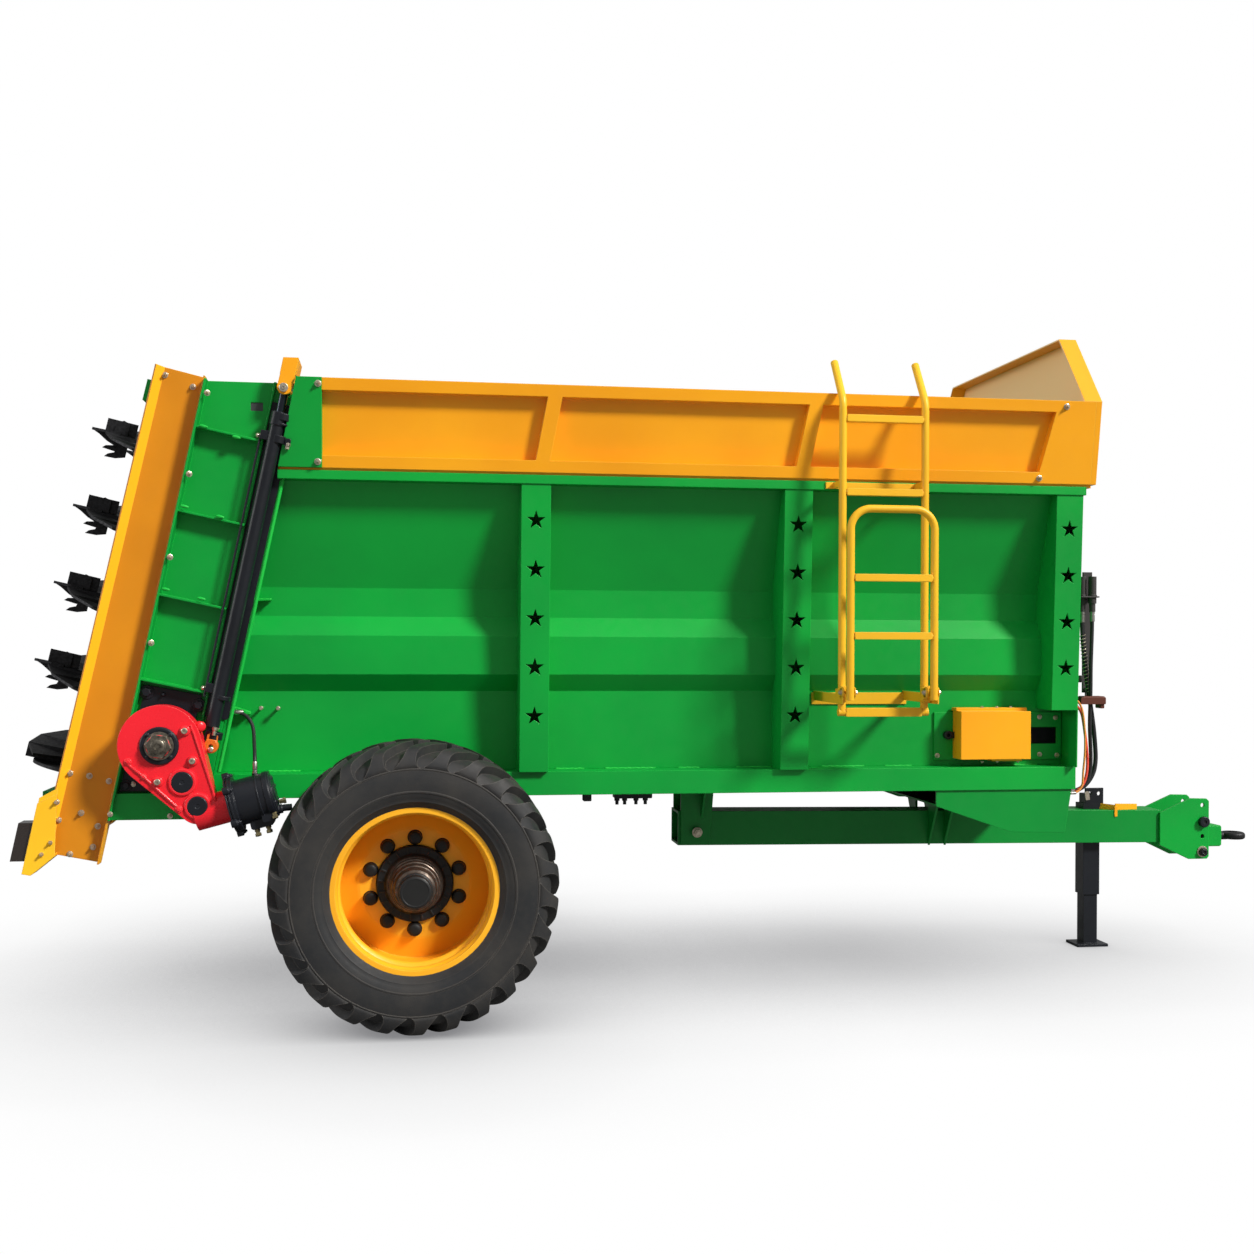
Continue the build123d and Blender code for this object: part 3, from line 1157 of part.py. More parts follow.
def hitch_eye():
    z = AXLE_Z + EYE_UP
    y = BEAM_W / 2
    block = box(BEAM_FRONT_X + 165, BEAM_FRONT_X + 234, -y, y, z - 55, z + 95)
    block += box(BEAM_FRONT_X + 234, BEAM_FRONT_X + 312, -60, 60, z - 38, z + 51)
    bolts = []
    for dz in HITCH_BOLTS:
        place = (BEAM_FRONT_X + HITCH_HOLE_X, AXLE_Z + dz)
        face = y + HITCH_T
        bolts.append(rod_y(*place, HITCH_HOLE_R, -face, face))
        for s in (-1, 1):
            bolts.append(rod_y(*place, HITCH_HEAD_R, s * face, s * (face + HITCH_HEAD_T)))
    ring = Cylinder(EYE_BORE_R + 2 * EYE_SECTION_R, 2 * EYE_SECTION_R)
    ring = fillet(ring.edges().filter_by(GeomType.CIRCLE), EYE_SECTION_R * 0.8)
    neck = rod_x(0, z, 20, BEAM_FRONT_X + 305, EYE_X - EYE_BORE_R - 8)
    eye = Pos(EYE_X, 0, z) * ring
    return block.fuse(*bolts, eye, neck) - rod_z(EYE_X, 0, EYE_BORE_R, z - 50, z + 50)


def jack():
    foot, s = beam_foot(JACK_X), JACK_SIDE / 2
    top = foot + BEAM_H
    i = JACK_INNER / 2
    leg = box(JACK_X - s, JACK_X + s, -s, s, JACK_SLEEVE_Z, top + 26)
    foot_x, foot_y, foot_t = (JACK_FOOT[0] / 2, JACK_FOOT[1] / 2, JACK_FOOT[2])
    head = JACK_HEAD[0] / 2
    leg += box(JACK_X - i, JACK_X + i, -i, i, foot_t, JACK_SLEEVE_Z)
    leg += box(JACK_X - foot_x, JACK_X + foot_x, -foot_y, foot_y, 0, foot_t)
    leg += box(JACK_X - head, JACK_X + head, -head, head, top + 26, top + 26 + JACK_HEAD[1])
    ear = box(JACK_X - 30, JACK_X + 58, -s, -s + 10, top + 15, top + 98)
    for x in (JACK_X - 8, JACK_X + 36):
        ear -= rod_y(x, top + 72, JACK_EAR_HOLE_R, -FAR, 0)
    return leg + ear


# ---------------------------------------------------------------- ladder
def ladder():
    r = LADDER_TUBE_R
    foot, bend, top = AXLE_Z + LADDER_FOOT_UP, AXLE_Z + LADDER_BEND_UP, AXLE_Z + LADDER_TOP_UP
    made = None
    for x in LADDER_X:
        stile = bent_tube([(x, -LADDER_Y, foot), (x, -LADDER_Y, bend), (x, -LADDER_Y + 120, top)], 90, r)
        made = stile if made is None else made + stile
    a, b = LADDER_X
    for up in LADDER_RUNGS_UP:
        made += rod_x(-LADDER_Y, AXLE_Z + up, r - 2, a, b)
    made += rod_x(-LADDER_Y, foot, r, a - r, b + r)
    hang = RAIL_Z + 4
    for x, s in ((a, -1), (b, 1)):
        made += box(x - 3, x + 3, -LADDER_Y, -TOP_RAIL_Y, hang, hang + 26)
        arm_x = x + s * (r + 8)
        made += box(arm_x - 3, arm_x + 3, -HINGE_Y - 14, -WALL_Y, HINGE_Z - 45, RIDGE_FOOT_Z)
        made += box(arm_x - 3, arm_x + 3, -HINGE_Y - 14, -LADDER_Y, HINGE_Z - 45, HINGE_Z + 12)
        made += box(min(x, arm_x), max(x, arm_x), -LADDER_Y - 8, -LADDER_Y + 8, HINGE_Z - 45, HINGE_Z + 12)
        made += rod_x(-HINGE_Y, HINGE_Z, HINGE_PIN_R, min(arm_x, x - s * 8), max(arm_x, x - s * 8))
    made += box(a - 35, b + 35, -WALL_Y - 6, -WALL_Y, HINGE_Z - 62, HINGE_Z - 26 + 12)
    made += box(a - 35, b + 35, -TOP_RAIL_Y - 6, -TOP_RAIL_Y, hang, hang + 26)
    return made


def ladder_hoop():
    """Fold-down section, stored upright in front of the ladder."""
    r = LADDER_TUBE_R
    a, b = LADDER_X
    foot, top = HINGE_Z - 30, HINGE_Z + HOOP_H
    made = bent_tube([(a, -HOOP_Y, foot), (a, -HOOP_Y, top), (b, -HOOP_Y, top), (b, -HOOP_Y, foot)], 80, r)
    for up in HOOP_RUNGS:
        made += rod_x(-HOOP_Y, HINGE_Z + up, r - 2, a, b)
    for x in (a, b):
        lug = box(x - 5, x + 5, -HOOP_Y, -HINGE_Y + 12, HINGE_Z - 14, HINGE_Z + 14)
        made += lug
        made -= rod_x(-HINGE_Y, HINGE_Z, HINGE_PIN_R + RUN, x - 20, x + 20)
    return made


# ---------------------------------------------------------------- front fittings
def driveline():
    x0 = beater_plane(1).origin.X + 95
    return rod_x(0, DRIVE_Z, DRIVE_R, x0, FRONT_X + 40) + rod_x(0, DRIVE_Z, PTO_R, FRONT_X + 40, FRONT_X + 130)


def route(name):
    """Points of a hose in the machine's frame."""
    r, start_x, points = HOSES[name]
    return [(start_x + x, y, z) for x, y, z in points]


def bend_radii(points):
    """Radius of each arc, as large as its two runs allow."""
    radii = []
    for a, b, c in zip(points, points[1:], points[2:]):
        before, after = Vector(b) - Vector(a), Vector(c) - Vector(b)
        half_turn = radians(before.get_angle(after)) / 2
        radii.append(BEND * min(before.length, after.length) / tan(half_turn))
    return radii


def hose(name):
    r, points = HOSES[name][0], route(name)
    path = FilletPolyline(*points, radius=bend_radii(points))
    return sweep(Plane(origin=path @ 0, z_dir=path % 0) * Circle(r), path=path)


def hose_stand():
    """Flat bar in front of the box with the couplings' holder at its head and a clamp at its foot."""
    x0, x1 = STAND_X, STAND_X + STAND_W
    back, face = -STAND_Y + STAND_T / 2, -STAND_Y - STAND_T / 2
    bar = box(x0, x1, face, back, AXLE_Z + STAND_FOOT_UP, AXLE_Z + STAND_HEAD_UP)
    for up in STAND_ARMS_UP:
        bar += box(FRONT_X + SHEET, x0, face, back, AXLE_Z + up, AXLE_Z + up + STAND_ARM_H)
    shelf = AXLE_Z + HOLDER_UP
    points = [route(name)[0] for name in COUPLED]
    out = min(y for _, y, _ in points) - COUPLING_R - 6
    bar += box(points[0][0] - COUPLING_R - 8, x1, out, back, shelf, shelf + HOLDER_T)
    for x, y, _ in points:
        bar -= rod_z(x, y, COUPLING_R, shelf - 1, shelf + HOLDER_T + 1)
    clamp = AXLE_Z + CLAMP_UP
    grip = box(x0, x1, -STAND_Y - 45, face, clamp, clamp + CLAMP_H)
    grip += box(x0 + 8, x1 - 8, face - 6, face, clamp, AXLE_Z + STAND_FOOT_UP + CLAMP_H)
    return bar + (grip - hose("guarded_hose"))


def hose_couplings():
    """Quick couplings at the upper ends of the two hydraulic hoses."""
    shelf = AXLE_Z + HOLDER_UP + HOLDER_T
    made = []
    for name in COUPLED:
        x, y, z = route(name)[0]
        plug = rod_z(x, y, CRIMP_R, z, z + CRIMP_L) + rod_z(x, y, COUPLING_R, z + CRIMP_L, z + COUPLING_L)
        made.append(plug + rod_z(x, y, COUPLING_COLLAR_R, shelf, shelf + HOLDER_T))
    return together(*made)


def hose_ports():
    """Block and fittings on the box's front and rear where the hoses end."""
    low, high = PORT_Z - 22, PORT_Z + 22
    ends = [route(name)[-1] for name in ("guarded_hose", "plain_hose", "red_hose", "orange_hose")]
    block = box(*PORT_PLATE, -STAND_Y - 96, -STAND_Y + 6, PORT_Z - 30, PORT_Z + 90)
    block += box(PORT_PLATE[1], PORT_BLOCK_X, -STAND_Y - 90, -STAND_Y + 4, low, high)
    for (x, y, z), r in zip(ends, (11, 10, 8, 7)):
        block += rod_x(y, z, r, PORT_BLOCK_X, x)
    made = [block]
    for name in ("red_hose", "orange_hose"):
        x, y, z = route(name)[0]
        made.append(rod_x(y, z, HOSES[name][0] + 3, FRONT_X + SHEET, x))
    x, y, z = route("motor_hose")[0]
    made.append(rod_x(y, z, CRIMP_R - 2, rear_x(z, 30), x) - BEHIND_REAR)
    return together(*made)


# ---------------------------------------------------------------- nodes
def machine():
    wheel = {"tyre": tyre(), "rim": rim(), "hub": hub()}
    made = {
        "side_walls": side_walls(),
        "sills": sills(),
        "top_rails": top_rails(),
        "floor": floor(),
        "front_wall": front_wall(),
        "front_apron": apron(),
        "posts": posts(),
        "boards": boards(),
        "board_ends": board_ends(),
        "headboard": headboard(),
        "rear_frames": rear_frames(),
        "portal_plates": portal_plates(),
        "gate_guides": gate_guides(),
        "shields": shields(),
        "rear_lamps": rear_lamps(),
        "top_beam": top_beam(),
        "lower_beam": lower_beam(),
        "beater_drive": beater_drive(),
        "bearing_plates": bearing_plates(),
        "floor_gearbox": floor_gearbox(),
        "hydraulic_motor": hydraulic_motor(),
        "floor_shafts": floor_shafts(),
        "floor_chain": floor_chain(),
        "tensioner_plates": tensioner_plates(),
        "tensioner_covers": tensioner_covers(),
        "cylinder_barrels": cylinder_barrels(),
        "gate_rods": gate_rods(),
        "tailgate": tailgate(),
        "gate_arms": gate_arms(),
        "axle": axle(),
        "axle_brackets": axle_brackets(),
        "cross_members": cross_members(),
        "drawbar": drawbar(),
        "drawbar_hanger": drawbar_hanger(),
        "drawbar_carrier": drawbar_carrier(),
        "hitch_head": hitch_head(),
        "hitch_eye": hitch_eye(),
        "jack": jack(),
        "ladder": ladder(),
        "ladder_hoop": ladder_hoop(),
        "driveline": driveline(),
        "hose_stand": hose_stand(),
        "hose_couplings": hose_couplings(),
        "hose_ports": hose_ports(),
    }
    for name in HOSES:
        made[name] = hose(name)
    for side, name in ((-1, "right"), (1, "left")):
        made["beater_" + name] = beater(side)
        for piece, solid in wheel.items():
            made[piece + "_" + name] = solid if side > 0 else other_side(solid)
    return made


nodes = machine()
for name, (r, _, _) in HOSES.items():
    points = route(name)
    line = FilletPolyline(*points, radius=bend_radii(points))
    tube = pi * r * r * line.length
    print(name, "length", round(line.length), "volume against its tube", round(nodes[name].volume / tube, 4),
          "arc radii", [round(radius) for radius in bend_radii(points)])
boxes = [part.bounding_box() for part in nodes.values()]
middle_x = (min(b.min.X for b in boxes) + max(b.max.X for b in boxes)) / 2
os.makedirs("parts", exist_ok=True)
for name, part in nodes.items():
    export_step(Compound([Pos(-middle_x, 0, 0) * solid for solid in part.solids()]), f"parts/{name}.step")
print("middle of the machine at X =", middle_x, "from the axle")
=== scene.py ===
"""Looks of the manure spreader: materials, hoses, tyres, small fittings, camera and studio.

Places count from the axle (x forwards), the middle plane and the ground, in metres for at()
and in millimetres for mm(). The tables are in millimetres.
"""
import bpy
import bmesh
import json
from math import cos, pi, radians, sin, tan
from mathutils import Matrix, Vector

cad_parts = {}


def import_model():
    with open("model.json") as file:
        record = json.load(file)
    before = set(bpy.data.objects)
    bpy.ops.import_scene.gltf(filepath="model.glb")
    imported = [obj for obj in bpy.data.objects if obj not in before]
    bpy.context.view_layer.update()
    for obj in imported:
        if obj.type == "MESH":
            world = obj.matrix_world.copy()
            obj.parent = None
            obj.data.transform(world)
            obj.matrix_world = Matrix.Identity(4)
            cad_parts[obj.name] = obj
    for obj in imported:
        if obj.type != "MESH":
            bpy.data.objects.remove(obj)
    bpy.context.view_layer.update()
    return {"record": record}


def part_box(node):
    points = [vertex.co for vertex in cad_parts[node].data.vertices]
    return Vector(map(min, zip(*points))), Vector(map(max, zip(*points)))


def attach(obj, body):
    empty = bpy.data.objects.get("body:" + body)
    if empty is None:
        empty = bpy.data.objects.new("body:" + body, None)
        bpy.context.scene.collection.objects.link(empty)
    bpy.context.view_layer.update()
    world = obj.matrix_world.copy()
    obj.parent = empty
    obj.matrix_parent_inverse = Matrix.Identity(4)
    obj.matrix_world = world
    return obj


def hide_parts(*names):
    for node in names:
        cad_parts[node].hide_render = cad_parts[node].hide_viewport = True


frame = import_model()

# ---- places
TYRE_LOW, TYRE_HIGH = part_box("tyre_right")
AXLE_X = (TYRE_LOW[0] + TYRE_HIGH[0]) / 2
AXLE_Z = (TYRE_LOW[2] + TYRE_HIGH[2]) / 2
WHEEL_Y = -(TYRE_LOW[1] + TYRE_HIGH[1]) / 2


def at(x, y, z):
    """A point in metres from the axle, the middle plane and the ground."""
    return Vector((AXLE_X + x, y, z))


def mm(x, y, z):
    """The same in millimetres."""
    return at(x / 1000, y / 1000, z / 1000)


FRONT_X = 2711          # front end of the box
LEAN = radians(11.6)    # lean of the box's rear end
LEAN_UP = Vector((sin(LEAN), 0, cos(LEAN)))
LEAN_ACROSS = Vector((cos(LEAN), 0, -sin(LEAN)))
FORWARD, LEFT, UP = Vector((1, 0, 0)), Vector((0, 1, 0)), Vector((0, 0, 1))
SIDES = (-1, 1)         # right and left


# ---- materials
def new_material(name):
    """A material with its node tree and its shader."""
    material = bpy.data.materials.new(name)
    material.use_nodes = True
    return material, material.node_tree, material.node_tree.nodes["Principled BSDF"]


def link(tree, a, b):
    tree.links.new(a, b)


def give(made, values):
    """Plain values for a node's sockets or its own settings."""
    for key, value in values.items():
        if key in made.inputs:
            made.inputs[key].default_value = value
        else:
            setattr(made, key, value)
    return made


def node(tree, kind, **values):
    """A new shader node with plain values."""
    return give(tree.nodes.new("ShaderNode" + kind), values)


def noise(tree, coords, scale, detail=3, rough=0.5):
    """Noise with a scale in patches a metre."""
    made = node(tree, "TexNoise", Scale=scale, Detail=detail, Roughness=rough)
    link(tree, coords, made.inputs["Vector"])
    return made.outputs["Fac"]


def ramp(tree, fac, low, high, a=0, b=1):
    """A value that goes from a to b while fac goes from low to high."""
    made = node(tree, "MapRange", **{"From Min": low, "From Max": high, "To Min": a, "To Max": b})
    link(tree, fac, made.inputs["Value"])
    return made.outputs["Result"]


def mix(tree, fac, a, b):
    """Colour a where fac is 0 and colour b where it is 1. Each can be a plain value or a socket."""
    made = node(tree, "Mix")
    made.data_type = "RGBA"
    for socket, value in ((made.inputs[0], fac), (made.inputs[6], a), (made.inputs[7], b)):
        if isinstance(value, (int, float)):
            socket.default_value = value
        elif isinstance(value, tuple):
            socket.default_value = (*value, 1)
        else:
            link(tree, value, socket)
    return made.outputs[2]


def object_coords(tree):
    return node(tree, "TexCoord").outputs["Object"]


def facing(tree, direction):
    """How far a face looks in a direction, a plain one or a socket: 1 straight at it, 0 square to it."""
    geometry = node(tree, "NewGeometry")
    dot = node(tree, "VectorMath", operation="DOT_PRODUCT")
    link(tree, geometry.outputs["True Normal"], dot.inputs[0])
    if isinstance(direction, tuple):
        dot.inputs[1].default_value = direction
    else:
        link(tree, direction, dot.inputs[1])
    return dot.outputs["Value"]


def bumps(tree, height, strength, distance):
    """A bump node over a height, with its depth in metres."""
    made = node(tree, "Bump", Strength=strength, Distance=distance)
    link(tree, height, made.inputs["Height"])
    return made


def wire(tree, shader, colour, rough, bump):
    """Colour, roughness and bumps into the shader."""
    link(tree, colour, shader.inputs["Base Color"])
    link(tree, rough, shader.inputs["Roughness"])
    link(tree, bump.outputs["Normal"], shader.inputs["Normal"])


def edge_mask(tree, radius):
    """The normal rounded at edges, and a mask that is white near them."""
    normal = node(tree, "Bevel", Radius=radius, samples=4).outputs["Normal"]
    return normal, ramp(tree, facing(tree, normal), 1, 0.75)


def enamel(name, colour, deep, light, rough=0.4, peel=0.02, faces=None):
    """Sprayed enamel: clouds of a deeper tone, orange peel, and edges mixed to a lighter tone as a painted
    highlight.

    faces is a direction and the tone painted on the faces that look that way: painted light or shade for how
    those faces are lit.
    """
    material, tree, shader = new_material(name)
    coords = object_coords(tree)
    cloud = noise(tree, coords, 1.4, 4)
    fine = noise(tree, coords, 28, 5, 0.6)
    normal, edge = edge_mask(tree, 0.004)
    base = mix(tree, ramp(tree, cloud, 0.35, 0.65), deep, colour)
    base = mix(tree, ramp(tree, fine, 0.55, 0.8, 0, 0.18), base, deep)
    # Painted light or shade: faces that look one way get their own tone.
    if faces:
        direction, tone = faces
        base = mix(tree, ramp(tree, facing(tree, direction), 0.3, 0.5), base, tone)
    # Painted highlight: edges mixed towards the lighter tone.
    base = mix(tree, ramp(tree, edge, 0, 1, 0, 0.55), base, light)
    give(shader, {"Specular IOR Level": 0.3, "Coat Weight": 0.03, "Coat Roughness": 0.25})
    bump = bumps(tree, noise(tree, coords, 260, 2), peel, 0.004)
    wave = bumps(tree, noise(tree, coords, 2.6, 1), 0.12, 0.02)
    link(tree, normal, wave.inputs["Normal"])
    link(tree, wave.outputs["Normal"], bump.inputs["Normal"])
    wire(tree, shader, base, ramp(tree, fine, 0.3, 0.7, rough - 0.05, rough + 0.08), bump)
    return material


def metal(name, colour, dark, rough, metallic=1, grain=90, relief=0.08):
    """Bare or blackened steel with streaks and stains."""
    material, tree, shader = new_material(name)
    coords = object_coords(tree)
    fine = noise(tree, coords, grain, 5, 0.65)
    base = mix(tree, ramp(tree, fine, 0.35, 0.7), dark, colour)
    give(shader, {"Metallic": metallic})
    gloss = ramp(tree, fine, 0.3, 0.7, rough + 0.1, rough - 0.05)
    wire(tree, shader, base, gloss, bumps(tree, fine, relief, 0.002))
    return material


def rubber(name, colour, dusty, rough, grain=60, edge_dust_and_highlight=None):
    """Rubber with dust in broad patches and fine specks. Its last argument is the lighter tone of its edges,
    partly dust and partly a painted highlight.
    """
    material, tree, shader = new_material(name)
    coords = object_coords(tree)
    fine = noise(tree, coords, grain, 6, 0.7)
    broad = noise(tree, coords, 5, 4, 0.6)
    base = mix(tree, ramp(tree, broad, 0.4, 0.75), colour, dusty)
    base = mix(tree, ramp(tree, fine, 0.5, 0.8, 0, 0.5), base, dusty)
    if edge_dust_and_highlight:
        # Edges lighter: partly dust, partly a painted highlight.
        edge = edge_mask(tree, 0.005)[1]
        base = mix(tree, ramp(tree, edge, 0.05, 1, 0, 0.9), base, edge_dust_and_highlight)
    give(shader, {"Specular IOR Level": 0.3})
    bump = bumps(tree, noise(tree, coords, 400, 3), 0.25, 0.002)
    wire(tree, shader, base, ramp(tree, fine, 0.3, 0.7, rough - 0.08, rough + 0.1), bump)
    return material


def lens(name, colour):
    """Moulded lens on the face that looks rearwards, black housing on the others."""
    material, tree, shader = new_material(name)
    housing = (0.02, 0.014, 0.012)
    tone = mix(tree, ramp(tree, facing(tree, (-1, 0, 0)), 0.6, 0.7), housing, colour)
    link(tree, tone, shader.inputs["Base Color"])
    give(shader, {"Roughness": 0.12, "Coat Weight": 0.6})
    cells = node(tree, "TexVoronoi", Scale=160)
    link(tree, object_coords(tree), cells.inputs["Vector"])
    bump = bumps(tree, cells.outputs["Distance"], 0.3, 0.002)
    link(tree, bump.outputs["Normal"], shader.inputs["Normal"])
    return material


# Colour, deeper tone of its clouds and the lighter tone painted on its edges as a highlight, then the
# roughness.
GREEN = enamel("green_enamel", (0, 0.37, 0.04), (0, 0.29, 0.035), (0.01, 0.6, 0.06))
# Chassis under the box: a darker green as painted shade.
CHASSIS_PAINTED_SHADE_GREEN = enamel("chassis_painted_shade_enamel", (0, 0.28, 0.034), (0, 0.22, 0.03), (0.01, 0.5, 0.055))
# Brighter green for welds, ledges and the box's edge: a painted highlight.
GREEN_PAINTED_HIGHLIGHT = enamel("green_painted_highlight_enamel", (0.02, 0.55, 0.06), (0, 0.4, 0.04), (0.1, 0.8, 0.15))
YELLOW = enamel("yellow_enamel", (1, 0.43, 0.008), (0.9, 0.35, 0.006), (1, 0.66, 0.06))
# Headboard: faces that look rearwards are painted a pale tan, painted light on the shaded inside of the hood.
HOOD_PAINTED_LIGHT_YELLOW = enamel("hood_painted_light_enamel", (1, 0.43, 0.008), (0.9, 0.35, 0.006), (1, 0.66, 0.06),
                     faces=((-1, 0, 0), (1, 0.68, 0.34)))
# Shields: a darker yellow as painted shade, with the faces that look forwards painted bright yellow as
# painted light.
SHIELD_PAINTED_SHADE_YELLOW = enamel("shield_painted_shade_enamel", (0.74, 0.28, 0.008), (0.62, 0.22, 0.006), (1, 0.6, 0.05),
                       faces=((1, 0, 0), (1, 0.46, 0.012)))
# Lamp brackets: a brighter yellow as painted light.
WING_PAINTED_LIGHT_YELLOW = enamel("wing_painted_light_enamel", (1, 0.58, 0.02), (0.95, 0.5, 0.015), (1, 0.74, 0.14))
RIM_YELLOW = enamel("rim_enamel", (1, 0.47, 0.02), (0.9, 0.4, 0.015), (1, 0.7, 0.1))
LADDER_YELLOW = enamel("ladder_enamel", (0.92, 0.52, 0.02), (0.8, 0.42, 0.015), (1, 0.7, 0.1))
RED = enamel("red_enamel", (0.92, 0.02, 0.035), (0.75, 0.012, 0.022), (1, 0.2, 0.18), 0.25)
ORANGE = enamel("orange_enamel", (0.75, 0.2, 0.02), (0.5, 0.1, 0.01), (0.95, 0.4, 0.08))
BLACK = enamel("black_enamel", (0.012, 0.014, 0.02), (0.007, 0.008, 0.011), (0.05, 0.055, 0.07), 0.35)
CAP = enamel("black_plastic", (0.012, 0.012, 0.012), (0.007, 0.007, 0.008), (0.04, 0.04, 0.042), 0.45, 0.04)
STAND_GREY = enamel("stand_enamel", (0.06, 0.055, 0.055), (0.045, 0.04, 0.04), (0.12, 0.12, 0.12), 0.5)
BROWN = enamel("clamp_enamel", (0.14, 0.035, 0.02), (0.08, 0.02, 0.012), (0.3, 0.1, 0.06), 0.5)
ROD = metal("piston_rod", (0.05, 0.06, 0.075), (0.03, 0.035, 0.045), 0.18, 0.9, 30, 0.02)
GREY = enamel("grey_enamel", (0.09, 0.1, 0.1), (0.05, 0.055, 0.055), (0.2, 0.2, 0.2), 0.5)
BLADE = metal("blade_steel", (0.03, 0.03, 0.034), (0.008, 0.008, 0.009), 0.5, 0.6)
STEEL = metal("bare_steel", (0.55, 0.53, 0.5), (0.28, 0.26, 0.24), 0.35)
WORN = metal("worn_steel", (0.28, 0.25, 0.2), (0.08, 0.07, 0.055), 0.4, 0.9, 60, 0.15)
CAST = metal("hub_steel", (0.16, 0.125, 0.1), (0.05, 0.04, 0.035), 0.42, 0.85, 50, 0.12)
ZINC = metal("zinc_plate", (0.8, 0.72, 0.58), (0.42, 0.36, 0.27), 0.32, 0.85, 120)
BRASS = metal("brass_union", (0.6, 0.5, 0.26), (0.2, 0.17, 0.1), 0.35, 0.95)
CHAIN = metal("chain_steel", (0.22, 0.2, 0.18), (0.06, 0.05, 0.045), 0.5, 0.8)
# The last tone lightens the tyre's edges: partly dust, partly a painted highlight.
TYRE = rubber("tyre_rubber", (0.018, 0.019, 0.021), (0.04, 0.037, 0.034), 0.6, 60, (0.1, 0.09, 0.08))
HOSE = rubber("hose_rubber", (0.012, 0.012, 0.014), (0.03, 0.03, 0.032), 0.42, 120)
HOSE_RED = rubber("red_hose_rubber", (0.75, 0.03, 0.02), (0.85, 0.12, 0.08), 0.4, 120)
HOSE_ORANGE = rubber("orange_hose_rubber", (0.8, 0.25, 0.04), (0.9, 0.4, 0.12), 0.4, 120)
LAMP = lens("lamp_lens", (0.6, 0.02, 0.01))

# Finish of each slot's solids, and of the solids that differ from the rest of their slot.
FINISH = {"green_paint": GREEN, "yellow_paint": YELLOW, "red_paint": RED, "dark_paint": BLACK,
          "dark_steel": BLADE, "bare_steel": STEEL, "chrome": ROD, "tyre": TYRE, "lamp": LAMP, "hose": HOSE}
OWN_FINISH = {
    CHASSIS_PAINTED_SHADE_GREEN: ("drawbar", "drawbar_hanger", "drawbar_carrier", "axle", "axle_brackets", "cross_members",
                    "lower_beam"),
    LADDER_YELLOW: ("ladder", "ladder_hoop"),
    HOOD_PAINTED_LIGHT_YELLOW: ("headboard",),
    SHIELD_PAINTED_SHADE_YELLOW: ("shields",),
    RIM_YELLOW: ("rim_right", "rim_left"),
    STAND_GREY: ("hose_stand", "hose_couplings"),
    CHAIN: ("floor_chain",),
}
finishes = {entry["node"]: FINISH[entry["material_slot"]] for entry in frame["record"]["subparts"]}
for finish, names in OWN_FINISH.items():
    finishes.update(dict.fromkeys(names, finish))
for name, finish in finishes.items():
    coats = bpy.data.objects[name].data.materials
    coats.clear()
    coats.append(finish)


# ---- shapes
CREASE = 0.6            # angle between two faces, in radians, from which their edge is sharp


def placed(name, data):
    """A new object that stands in the scene."""
    made = bpy.data.objects.new(name, data)
    bpy.context.scene.collection.objects.link(made)
    return made


def shade(mesh, crease):
    """Smooth faces that meet in sharp edges."""
    for face in mesh.faces:
        face.smooth = True
    for edge in mesh.edges:
        edge.smooth = not edge.is_manifold or edge.calc_face_angle(0) < crease


